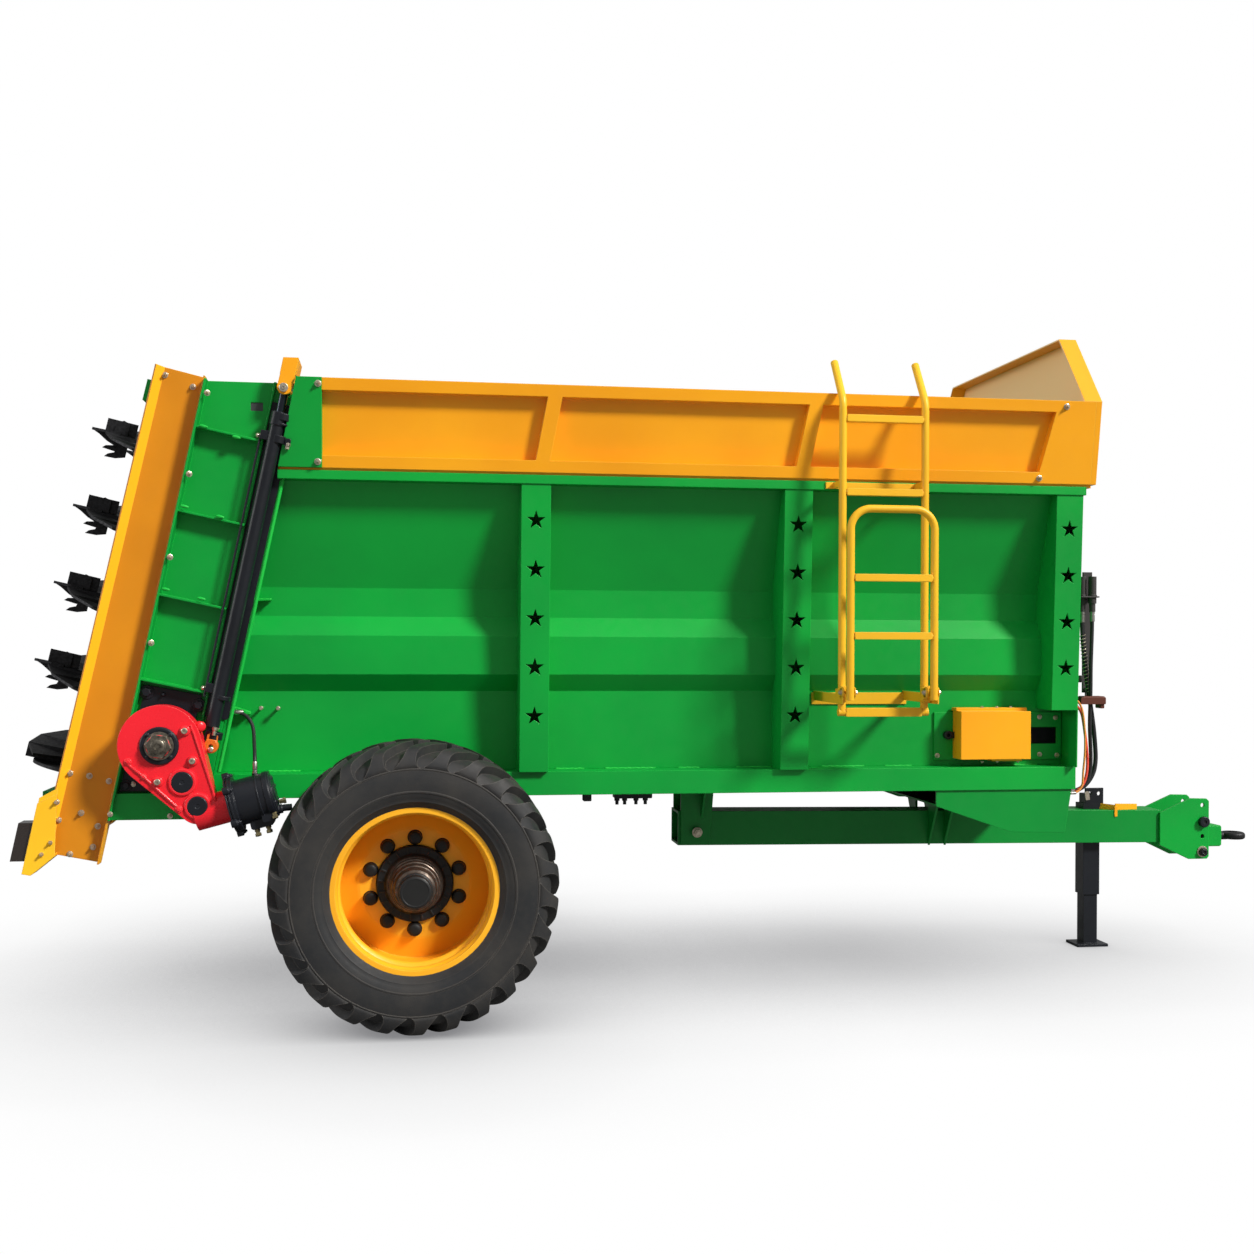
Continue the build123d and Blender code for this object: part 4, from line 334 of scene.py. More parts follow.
class Piece:
    """One mesh piece gathered from turned, extruded and swept shapes. Sizes are in millimetres."""

    def __init__(self, name):
        self.name = name
        self.mesh = bmesh.new()

    def ring(self, middle, across, up, radius, sides, twist=0):
        """Corners round a middle, or the middle alone where the radius is 0."""
        if radius <= 0:
            return [self.mesh.verts.new(middle)]
        turns = (2 * pi * (step + twist) / sides for step in range(sides))
        return [self.mesh.verts.new(middle + (across * cos(turn) + up * sin(turn)) * radius / 1000)
                for turn in turns]

    def join(self, first, second):
        """Faces between two rings, either of which may be a single point."""
        count = max(len(first), len(second))
        for step in range(count):
            corners = [first[step % len(first)], first[(step + 1) % len(first)],
                       second[(step + 1) % len(second)], second[step % len(second)]]
            corners = list(dict.fromkeys(corners))
            if len(corners) > 2:
                self.mesh.faces.new(corners)

    def turned(self, profile, place, along, sides=24, twist=0):
        """Turned from (distance along, radius) pairs about the line that leaves place."""
        along = Vector(along).normalized()
        across = along.orthogonal().normalized()
        up = along.cross(across)
        rings = [self.ring(place + along * distance / 1000, across, up, radius, sides, twist)
                 for distance, radius in profile]
        for first, second in zip(rings, rings[1:]):
            self.join(first, second)

    def prism(self, origin, outline, across, up, depth):
        """A flat shape with its corners along two directions from its origin."""
        across, up = Vector(across).normalized(), Vector(up).normalized()
        shift = across.cross(up) * depth / 1000
        near = [self.mesh.verts.new(origin + (across * x + up * y) / 1000) for x, y in outline]
        far = [self.mesh.verts.new(vertex.co + shift) for vertex in near]
        self.join(near, far)
        self.mesh.faces.new(near[::-1])
        self.mesh.faces.new(far)

    def plate(self, middle, size, across=FORWARD, up=UP, cut=3):
        """A block about its middle, of a width, height and depth, with cut corners."""
        wide, high, deep = size[0] / 2, size[1] / 2, size[2]
        corners = [(-wide + cut, -high), (wide - cut, -high), (wide, -high + cut), (wide, high - cut),
                   (wide - cut, high), (-wide + cut, high), (-wide, high - cut), (-wide, -high + cut)]
        normal = Vector(across).normalized().cross(Vector(up).normalized())
        self.prism(middle - normal * deep / 2000, corners, across, up, deep)

    def sweep(self, line, radius, sides=10):
        """A round bar along a line of points."""
        rings = []
        across = None
        for step, place in enumerate(line):
            before = line[max(step - 1, 0)]
            after = line[min(step + 1, len(line) - 1)]
            along = (after - before).normalized()
            if across is None:
                across = along.orthogonal().normalized()
            across = (across - along * across.dot(along)).normalized()
            rings.append(self.ring(place, across, along.cross(across), radius, sides))
        for first, second in zip(rings, rings[1:]):
            self.join(first, second)
        self.mesh.faces.new(rings[0][::-1])
        self.mesh.faces.new(rings[-1])

    def done(self, finish, body="root", replaces=()):
        """Turn the gathered mesh into an object that rides on a body."""
        bmesh.ops.recalc_face_normals(self.mesh, faces=self.mesh.faces)
        shade(self.mesh, CREASE)
        data = bpy.data.meshes.new(self.name)
        self.mesh.to_mesh(data)
        self.mesh.free()
        data.materials.append(finish)
        made = placed(self.name, data)
        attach(made, body)
        if replaces:
            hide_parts(*replaces)


def skin(nodes, x, z, side=-1):
    """Y of the outermost surface of some CAD nodes at a place seen from the side, in millimetres."""
    outside = mm(x, side * 2000, z)
    casts = (bpy.data.objects[name].ray_cast(outside, -side * LEFT) for name in nodes)
    return side * max(place.y * 1000 * side for hit, place, _, _ in casts if hit)


def head(radius, height, bevel):
    """Profile of a round head or washer with a bevelled end."""
    return [(0, 0), (0, radius), (height - bevel, radius), (height, radius - bevel), (height, 0)]


def hex_bolt(piece, place, along, size, height, tail=0, washer=1.35):
    """Washer, hexagon head or nut, and the thread's end. size is the head's radius."""
    rim = size * washer
    piece.turned([(0, 0), (0, rim), (2.2, rim), (2.6, rim - 0.6), (2.6, 0)], place, along, 20)
    bevel, top = 2.4 + height * 0.8, 2.4 + height
    piece.turned([(2.4, 0), (2.4, size), (bevel, size), (top, size * 0.86), (top, 0)], place, along, 6, 0.25)
    if tail:
        thread, end = size * 0.52, height + tail
        piece.turned([(height, 0), (height, thread), (end, thread), (end + 1.5, size * 0.4), (end + 1.5, 0)],
                     place, along, 12)


def socket(radius, height, bevel, mouth, depth, floor):
    """Profile of a round head with a socket in it: radius of its mouth, and depth and radius of its floor."""
    return head(radius, height, bevel)[:-1] + [(height, mouth), (depth, floor), (depth, 0)]


def side_bolts(piece, nodes, places, size, height, tail, washer=1.35):
    """Bolts on both sides' outermost surface of some CAD nodes, at places given by x and z."""
    for side in SIDES:
        for x, z in places:
            hex_bolt(piece, mm(x, skin(nodes, x, z, side), z), side * LEFT, size, height, tail, washer)


# ---- hoses
# The CAD's routes. Those at the front count x from the box's front end.
GUARDED = (
    (115, -530, 1540), (115, -530, 1470), (120.5, -531, 1390), (130, -532, 1300), (142, -531, 1215),
    (157, -529, 1130), (171, -526, 1050), (181, -522, 970), (186, -519, 905), (178, -517, 848),
    (144, -515, 796), (94.8, -514, 769.7), (45, -514, 769.7))
PLAIN = (
    (151, -550, 1540), (151, -550, 1470), (147, -553, 1390), (143, -555, 1300), (143, -556, 1210),
    (140, -556, 1125), (139, -555, 1045), (144, -553, 975), (148, -550, 920), (148.5, -546, 876),
    (145, -542, 842), (137, -539, 816), (121, -537, 793), (99, -536, 777), (72, -536, 769.7),
    (45, -536, 769.7))
RED_LINE = (
    (29, -562, 1150), (47, -562, 1150), (65, -562, 1145), (81, -562, 1135), (93, -562, 1120.5),
    (101, -562, 1102), (107, -562, 1073), (113, -562, 1032), (121, -561, 980), (127, -560, 925),
    (128, -559, 872), (121, -558, 829), (106, -557, 797.5), (86, -556, 778.5), (66, -556, 769.7),
    (45, -556, 769.7))
ORANGE_LINE = (
    (29, -580, 1172), (45, -580, 1172), (61, -580, 1167.5), (75, -580, 1157.5), (86, -580, 1142),
    (94, -580, 1120), (100, -580, 1088), (105, -579, 1045), (108, -578, 995), (108, -577, 945),
    (105, -576, 900), (101, -575, 862), (100, -575, 832), (98.5, -575, 806), (92, -574, 789.5),
    (79.5, -574, 776.5), (63, -574, 769.7), (45, -574, 769.7))
MOTOR_LINE = (
    (-692, -668, 1128), (-673, -668, 1128), (-654.5, -669.5, 1123.5), (-637, -674, 1114),
    (-622, -683, 1098), (-611, -694, 1077), (-605, -710, 1053), (-602, -731, 1031), (-599, -753, 1014),
    (-596, -776, 999), (-593, -797, 985), (-591.5, -811.5, 969), (-590, -821.5, 949.5), (-589, -827, 929),
    (-589, -827, 908))


def hose(node_name, route, start_x, diameter, length, finish):
    """A hose along its CAD route, from fitting to fitting. Gives the points of its middle line."""
    data = bpy.data.curves.new(node_name + "_cover", "CURVE")
    data.dimensions = "3D"
    spline = data.splines.new("NURBS")
    spline.points.add(len(route) - 1)
    for point, (x, y, z) in zip(spline.points, route):
        point.co = (*mm(start_x + x, y, z), 1)
    spline.order_u = 3
    spline.use_endpoint_u = True
    data.resolution_u = 8
    data.bevel_resolution = 4
    data.use_fill_caps = True
    made = placed(node_name + "_cover", data)
    plain = bpy.data.meshes.new_from_object(made)
    line = [vertex.co.copy() for vertex in plain.vertices]
    bpy.data.meshes.remove(plain)
    data.bevel_depth = diameter / 2
    data.materials.append(finish)
    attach(made, "root")
    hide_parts(node_name)
    return line


# Profile of a crimped sleeve, in shares of its length and of the hose's radius.
SLEEVE = ((0, 0), (0, 1.3), (0.2, 1.34), (0.24, 1.12), (0.32, 1.12), (0.36, 1.32), (0.96, 1.32), (1, 1.15),
          (1, 0))


def crimps(piece, line, radius, length):
    """Pressed sleeves on both ends of a hose."""
    for end in (line, line[::-1]):
        piece.turned([(length * step, radius * wide) for step, wide in SLEEVE], end[0], end[1] - end[0], 18)


def spring(line, low, high, radius, wire, pitch):
    """Wire wound round a hose between two heights."""
    steps_a_turn = 14
    part = [place for place in line if low <= place.z * 1000 <= high]
    steps = []
    run = 0.0
    for first, second in zip(part, part[1:]):
        span = (second - first).length
        along = (second - first).normalized()
        across = (LEFT - along * along.y).normalized()
        up = along.cross(across)
        count = max(1, round(span * 1000 / pitch * steps_a_turn))
        for step in range(count):
            turn = 2 * pi * (run + span * step / count) * 1000 / pitch
            middle = first.lerp(second, step / count)
            steps.append(middle + (across * cos(turn) + up * sin(turn)) * radius / 1000)
        run += span
    piece = Piece("hose_spring")
    piece.sweep(steps, wire / 2, 6)
    piece.done(ZINC)


# Node, route, where its x counts from, diameter, length and finish, then the length of its sleeves.
HOSES = (
    ("guarded_hose", GUARDED, FRONT_X, 0.019, 0.862, HOSE, 46),
    ("plain_hose", PLAIN, FRONT_X, 0.016, 0.836, HOSE, 42),
    ("red_hose", RED_LINE, FRONT_X, 0.012, 0.474, HOSE_RED, 30),
    ("orange_hose", ORANGE_LINE, FRONT_X, 0.009, 0.478, HOSE_ORANGE, 24),
    ("motor_hose", MOTOR_LINE, 0, 0.014, 0.334, HOSE, 44))


def hoses():
    """The five hoses, their crimps, the spring guard and the brown clamp of the hose stand."""
    lines = {name: hose(name, *given) for name, *given, _ in HOSES}
    piece = Piece("hose_crimps")
    for name, _, _, diameter, _, _, sleeve in HOSES:
        crimps(piece, lines[name], diameter * 500, sleeve)
    piece.done(STEEL)
    spring(lines["guarded_hose"], low=1194, high=1452, radius=12, wire=3.4, pitch=15)
    clamp = Piece("hose_clamp")
    for x, y, z, size in ((146, -574, 1161, (112, 30, 5)), (146, -516, 1161, (112, 30, 5)),
                          (190, -545, 1150, (16, 44, 50)), (152, -545, 1176, (96, 8, 52))):
        clamp.plate(mm(FRONT_X + x, y, z), size)
    clamp.done(BROWN)


# ---- wheels
LUGS = 26
FLANK = 0.55            # degrees that a lug's flank takes
TYRE_CREASE = 0.55      # radians
# Half of the tyre: distance off its middle plane and radius of the casing and of the lug's top,
# then the degrees of the lug's trailing and leading edges there.
TREAD = (
    (0, 491, 0, 491, 8.6, 13.2), (9, 491, 9, 491, 8.4, 13), (14, 491, 14, 519.5, 8.2, 12.8),
    (40, 491, 40, 519.6, 6.8, 11.6), (70, 490.5, 70, 519.3, 5.1, 10.1), (100, 490, 100, 518.6, 3.4, 8.6),
    (130, 488.5, 130, 517.4, 1.7, 7.1), (158, 486, 159, 515.4, 0.1, 5.5), (182, 483, 184, 512.4, -1.5, 3.9),
    (202, 478, 206, 508, -2.9, 2.2), (212, 474, 219, 501, -3.7, 1.1), (219, 469, 228.5, 491, -4.5, 0.4),
    (227, 461, 237, 477, -5.6, 0), (234.5, 452, 243.5, 462, -7.2, -0.1),
    (239.5, 445, 246.5, 450, -8.8, 0.1), (242.5, 440, 246.8, 442.5, -9.9, 0.7),
    (244, 438, 244.5, 438.4, -10.2, 1.6))
# The side wall, down to the rim: distance off the middle plane and radius.
WALL = (
    (245, 436.5), (247.6, 435.6), (248, 434), (247.6, 432.4), (246, 431.4), (247, 424), (248.3, 414),
    (249.2, 403), (249.6, 392), (249.4, 380), (248.6, 368), (247.6, 358.5), (249.2, 357.2), (249.6, 354.5),
    (249, 352), (246.6, 350.8), (244.4, 342), (241, 333), (237, 325), (236.6, 320), (234, 316.5),
    (229, 312), (224.5, 307), (219.5, 302), (216.5, 297.5), (206, 294), (190, 289))


def tyre(name, body, side):
    """Flotation tyre: curved lugs that hook round the shoulders, and the side walls' raised lines."""
    pitch = 360 / LUGS
    vertices, faces = [], []
    for half in SIDES:
        shift = 0 if half == side else pitch / 2
        rows = []
        for off, low, top_off, top, trail, lead in TREAD:
            wide, gap = lead - trail, trail + pitch - FLANK - lead
            inner = ((trail, top_off, top), (trail + wide * 0.33, top_off, top),
                     (trail + wide * 0.67, top_off, top), (lead, top_off, top),
                     (lead + FLANK, off, low), (lead + gap * 0.35, off, low - 0.8),
                     (lead + gap * 0.65, off, low - 0.8), (trail + pitch - FLANK, off, low))
            rows.append([(angle + lug * pitch, y, r) for lug in range(LUGS) for angle, y, r in inner])
        angles = [angle for angle, _, _ in rows[-1]]
        rows += [[(angle, off, low) for angle in angles] for off, low in WALL]
        start, count = len(vertices), len(angles)
        for angle, y, r in (corner for row in rows for corner in row):
            turn = radians(angle + shift)
            vertices.append(at(r * sin(turn) / 1000, side * WHEEL_Y + half * y / 1000,
                               AXLE_Z + r * cos(turn) / 1000))
        for row in range(len(rows) - 1):
            for step in range(count):
                a = start + row * count + step
                b = start + row * count + (step + 1) % count
                corners = (a, b, b + count, a + count)
                faces.append(corners if half < 0 else corners[::-1])
    data = bpy.data.meshes.new(name)
    data.from_pydata(vertices, [], faces)
    data.materials.append(TYRE)
    mesh = bmesh.new()
    mesh.from_mesh(data)
    bmesh.ops.remove_doubles(mesh, verts=mesh.verts, dist=0.00005)
    shade(mesh, TYRE_CREASE)
    mesh.to_mesh(data)
    mesh.free()
    made = placed(name, data)
    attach(made, body)
    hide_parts(body.replace("wheel", "tyre"))


# Wheel end, in metres: circle of the wheel studs, and places along the axle from the middle plane.
STUDS, STUD_CIRCLE = 10, 0.1675
HUB_Y, DISC_Y, RIB_Y, NOSE_Y, CAP_Y = 0.9, 1.0202, 1.0462, 1.055, 1.1885
RIBS, RIB_CIRCLE = 20, 0.122
BEADS = ((1.132, 262), (1.184, 270))    # place and inner radius of the rim's beads
# Profiles: distance outwards and radius.
NUT_CAP = ((0, 27.5), (3, 27.5), (5, 24.5), (22, 24), (28, 21.5), (31, 16), (32, 8), (32, 0))
HUB = ((0, 41), (0, 112), (80, 112), (86, 192), (107, 192), (107, 139), (120, 139))
HUB_FLANGE = ((0, 139), (20.5, 139), (24, 135.5), (24, 112), (27, 108), (34.6, 104), (34.6, 90))
HUB_NOSE = (
    (0, 101.5), (5, 103), (9, 101), (10, 97), (26, 94.5), (27, 97.5), (34, 96.5), (35, 92.5), (54, 89.6),
    (55, 92), (62, 90.5), (64, 87), (84, 81.5), (85, 84), (91, 82), (92.5, 78.5), (118, 72.5), (124, 71.5),
    (126, 66), (130, 61.5), (134, 58.5))
END_CAP = (
    (0, 57.5), (0, 62), (3, 63), (7, 62), (9, 57.8), (42, 57.3), (46, 56.5), (48.5, 53), (49.6, 48),
    (48.2, 46.5), (48.2, 0))
DISC_RING = ((0, 140), (1.6, 141), (1.6, 196), (0.4, 203), (-2, 206))


def wheel_end(side, body):
    """The hub's nut caps, ribbed flange, stepped nose and end cap, the disc's ring and the rim's beads."""
    out = side * LEFT
    middle = at(0, 0, AXLE_Z)
    label = body.split("_")[1]
    caps = Piece("nut_caps_" + label)
    for step in range(STUDS):
        turn = radians(360 / STUDS * step)
        place = middle + Vector((STUD_CIRCLE * sin(turn), side * DISC_Y, STUD_CIRCLE * cos(turn)))
        caps.turned(NUT_CAP, place, out)
    caps.turned(HUB, middle + out * HUB_Y, out, 48)
    caps.turned(HUB_FLANGE, middle + out * DISC_Y, out, 64)
    for step in range(RIBS):
        turn = radians(360 / RIBS * step + 6)
        away = Vector((sin(turn), 0, cos(turn)))
        caps.plate(middle + away * RIB_CIRCLE + out * RIB_Y, (5.5, 20, 5), away.cross(out), away, 1.2)
    caps.turned(END_CAP, middle + out * CAP_Y, out, 48)
    caps.done(CAP, body, ("hub_" + label,))
    disc = Piece("disc_face_" + label)
    disc.turned(DISC_RING, middle + out * DISC_Y, out, 64)
    for bead, radius in BEADS:
        disc.turned([(-14, 279), (-6, radius + 3), (0, radius), (8, radius + 1), (15, radius + 5), (22, 279)],
                    middle + out * bead, out, 72)
    disc.done(RIM_YELLOW, body)
    nose = Piece("hub_nose_" + label)
    nose.turned(HUB_NOSE, middle + out * NOSE_Y, out, 56)
    nose.done(CAST, body)


# ---- rear end
# Places of bolts and welds, by x and z.
SHIELD_BOLTS = (
    (-931, 2393), (-1264, 907), (-1195, 896), (-1125, 876), (-1304, 804), (-1224, 759), (-1164, 709),
    (-1304, 734), (-1181, 632), (-1323, 656), (-1263, 607), (-1355, 613))
FRAME_BOLTS = ((-771, 2321), (-834, 2018), (-901, 1709), (-967, 1391))
BEAM_BOLTS = ((-1109, 760), (-899, 748), (-1036, 865))
BOARD_BOLTS = ((-365, 2363), (-367, 2076), (2606, 2363), (2509, 2076))
FRAME_WELDS = ((-783, 2197), (-664, 2160), (-850, 1898), (-722, 1862), (-916, 1590), (-788, 1556))
# Seams between side wall and sill: where each starts and how long it is.
SEAMS = (
    (-560, 130), (-250, 90), (560, 120), (760, 210), (1060, 90), (1300, 150), (1660, 190), (1930, 120),
    (2420, 180))
SEAM_STEP = 6
WALL_STUD = ((0, 0), (0, 5.5), (40, 5.5), (40, 9), (49, 9), (52, 6), (52, 0))
WING = (-1303, 777, 834)    # front upper corner of a lamp bracket
WING_SHEET = ((0.5, 0), (-68.5, -34), (-122.5, -293.5), (-91, -299.5), (-6.5, -230))
WING_LIP = ((2, -4), (-66, -36), (-62, -14), (4, 22))


def wing_faces():
    """Lamp brackets' outer sheets and the lips turned up along their heads, in a brighter yellow that is
    painted light.
    """
    sheets = Piece("wing_faces")
    x, y, z = WING
    for side in SIDES:
        sheets.prism(mm(x, side * y, z), WING_SHEET, FORWARD, UP, 2)
        sheets.prism(mm(x, side * (y - 4), z), WING_LIP, FORWARD, UP, 4)
    sheets.done(WING_PAINTED_LIGHT_YELLOW)


CYLINDER_X, CYLINDER_Y, CYLINDER_Z = -748, 800, 1007    # foot of a gate cylinder


def leaning(z, off, y):
    """A place at a height on a gate cylinder's line, or off it forwards."""
    return mm(CYLINDER_X + (z - CYLINDER_Z) * tan(LEAN) + off * cos(LEAN), y, z - off * sin(LEAN))


def rear_end():
    """Bolts of shields, frames and boards, the welds and ledges in a brighter green that is a painted
    highlight, the wall's studs and the frame's dark slot.
    """
    steel = Piece("rear_bolts")
    side_bolts(steel, ("shields",), SHIELD_BOLTS, 8.5, 9, 12)
    side_bolts(steel, ("shields",), ((-830, 2352),), 8.5, 9, 8)
    for side in SIDES:
        for x, z in FRAME_BOLTS:
            hex_bolt(steel, mm(x, side * 806, z), (0.35, side, 0), 8.5, 8, 14)
    side_bolts(steel, ("lower_beam", "rear_frames", "bearing_plates"), BEAM_BOLTS, 7.5, 6, 4)
    side_bolts(steel, ("board_ends", "boards", "headboard"), BOARD_BOLTS, 9.5, 9, 10)
    steel.done(ZINC)

    # Welds, seams and small ledges in a brighter green: a painted highlight.
    highlight_green = Piece("welds")
    for side in SIDES:
        for x, z in FRAME_WELDS:
            highlight_green.turned([(-16, 0), (-14, 4), (-6, 6.5), (5, 6), (13, 4), (16, 0)], mm(x, side * 801, z),
                        LEAN_ACROSS, 10)
        for start, length in SEAMS:
            line = [mm(start + step * SEAM_STEP, side * (591.5 + 1.2 * sin(step * 2.1)),
                       894 + 0.9 * sin(step * 1.3)) for step in range(length // SEAM_STEP)]
            highlight_green.sweep(line, 3.6, 6)
    highlight_green.prism(mm(-692, -594, 1148), [(0, 0), (14, -3), (66, -21), (66, -30), (10, -32)], FORWARD, UP, 46)
    highlight_green.prism(mm(-630, -594, 1566), [(0, 0), (80, -2), (80, -9), (0, -14)], FORWARD, UP, 40)
    highlight_green.done(GREEN_PAINTED_HIGHLIGHT)

    studs = Piece("wall_studs")
    for x, z in ((-586, 1141), (-522, 1140)):
        studs.turned(WALL_STUD, mm(x, -590, z), -LEFT, 16)
    union = mm(-716, -700, 1130)
    for place, along, size in ((union, -LEFT, 8), (mm(-696, -668, 1128), -FORWARD, 12)):
        neck = size * 0.7
        studs.turned([(0, 0), (0, size), (12, size), (14, neck), (26, neck), (28, 0)], place, along, 6)
    studs.sweep([union, mm(-718, -705, 1105), mm(-724, -720, 1080), mm(-734, -760, 1066)], 4.5, 8)
    studs.done(ZINC)

    slot = Piece("frame_slot_backing")
    for side in SIDES:
        slot.plate(mm(-586, side * 740, 2294), (104, 96, 5), LEAN_ACROSS, LEAN_UP, 6)
    slot.done(GREY)


# Collars of a gate cylinder: lower and upper height, and radius.
COLLARS = ((2206, 2214, 29.5), (2224, 2250, 32.5), (2140, 2168, 30), (1180, 1196, 30), (1034, 1062, 31))
# Points of a bright green bar along the box's edge, a painted highlight.
WALL_EDGE = ((915, 40), (1500, 41), (2085, 42))     # height, and way in front of the cylinder


def gate_cylinders():
    """Collars, ports, pipe and foot of the cylinders; behind them a black plate, which is painted shade, and
    a bright green edge, which is a painted highlight; and the arms' bolts.
    """
    black = Piece("cylinder_fittings")
    bright = Piece("cylinder_unions")
    orange = Piece("cylinder_feet")
    highlight_green = Piece("wall_edges")
    arms = Piece("gate_arm_bolts")
    for side in SIDES:
        y, out = side * CYLINDER_Y, side * LEFT
        # Black plate behind each cylinder: painted shade for the dark gap between frame and box.
        black.plate(leaning(1700, -15, side * 750), (94, 1210, 5), LEAN_ACROSS, LEAN_UP, 6)
        for low, high, radius in COLLARS:
            span, edge = (high - low) / cos(LEAN), radius - 1.5
            black.turned([(0, 20), (0, edge), (1.5, radius), (span - 1.5, radius), (span, edge), (span, 20)],
                         leaning(low, 0, y), LEAN_UP, 32)
        for low in (2160, 1215):
            black.plate(leaning(low, -50, y - side * 2), (34, 34, 30), LEAN_ACROSS, LEAN_UP, 4)
            bright.turned([(0, 0), (0, 9), (8, 9), (10, 7), (16, 9.5), (22, 8), (25, 4), (25, 0)],
                          leaning(low, -60, y - side * 4), (-1, 0, -0.15), 14)
        black.plate(leaning(2150, 38, y + side * 8), (20, 30, 24), LEAN_ACROSS, LEAN_UP, 4)
        bright.turned([(-14, 0), (-14, 8), (-4, 8), (-2, 10), (8, 10), (10, 8), (16, 8), (16, 0)],
                      leaning(2140, 40, y + side * 12), LEAN_UP, 16)
        black.sweep([leaning(2160, -62, y)] + [leaning(z, -66, y) for z in (2148, 1600, 1180)], 4.2)
        # Bright green bar along the box's edge: a painted highlight.
        highlight_green.sweep([leaning(z, off, side * 752) for z, off in WALL_EDGE], 7.5)
        foot = mm(CYLINDER_X, y + side * 6, CYLINDER_Z + 3)
        orange.turned([(0, 8), (0, 25), (3, 27), (22, 27), (26, 24), (26, 8)], foot, out)
        orange.plate(foot + Vector((0.004, side * 0.012, 0.024)), (40, 44, 20), LEAN_ACROSS, LEAN_UP, 8)
        pin, union = foot + Vector((0, side * 0.026, -0.012)), mm(-738, side * 834, 1050)
        bright.turned([(0, 0), (0, 10), (6, 10), (8, 7), (8, 0)], pin, out, 16)
        bright.turned([(0, 0), (0, 7), (16, 7), (20, 10), (30, 10), (32, 0)], union, LEAN_UP, 12)
        arm = mm(-491, skin(("gate_arms",), -491, 2345, side), 2345)
        arms.turned([(0, 0), (0, 17), (2.5, 17), (4, 15), (4, 8), (8, 7), (8, 4), (5, 3.5), (5, 0)], arm, out)
    black.done(BLACK)
    bright.done(ZINC)
    orange.done(ORANGE)
    highlight_green.done(GREEN_PAINTED_HIGHLIGHT)
    arms.done(ZINC, "tailgate")


GEARBOX_Y = -900        # its outer face
SHAFT = (-921, 1017)    # the rear floor shaft, by x and z
COVER_CIRCLE = 57       # of the bolts of the shaft's cover
COVERS = ((-839.4, 884.4, 37.5, 48), (-785, 796, 35.5, 46))     # x, z, radius and the boss's radius
PLATE_NUTS = ((-989, 1208, 27), (-801, 1159, 25), (-1061, 861, 22), (-929, 1199, 8))    # x, z and radius
# Profiles: distance outwards and radius.
SHAFT_COVER = ((0, 40), (0, 69.5), (7, 69.5), (10.5, 66), (11.5, 58), (9.5, 55), (9.5, 46), (4, 44))
SHAFT_WASHER = ((6, 40), (6, 52), (12, 52), (13, 48), (13, 20))
SHAFT_NUT = ((12, 0), (12, 49.5), (31, 49.5), (36, 44), (36.5, 30))
SHAFT_END = ((36, 31), (39, 30), (40, 26), (44, 25), (46, 22), (46, 12), (43, 10), (43, 0))
# Cast ribs: radius, then x, height above the face and z of their points.
CAST_RIBS = (
    (5, ((-812, 0, 1092), (-801, 1, 1066), (-780, 1, 1000), (-755, 1, 925), (-731, 1, 850), (-722, 0, 815))),
    (6, ((-1034, -2, 953), (-1000, 2, 926), (-975, 2, 905), (-920, 2, 852), (-880, 2, 815), (-851, -2, 788))))
# The motor's lean, its flange's middle, and the profiles along it.
MOTOR_LEAN = radians(15)
MOTOR_FLANGE = (-664, -850, 795)
MOTOR_BODY = (
    ((-10, 88), (-10, 104.5), (-4, 104.5), (-4, 99), (0, 99), (0, 104.5), (7, 104.5), (8, 88)),
    ((100, 84), (100, 88), (105, 88), (106, 84)),
    ((126, 84), (126, 88.5), (143, 88.5), (149, 84), (151, 74), (156, 70), (156, 40), (160, 36), (160, 0)))
UNION = ((-4, 0), (-4, 11), (8, 11), (9, 8.5), (15, 8.5), (16, 12), (26, 12), (27, 0))


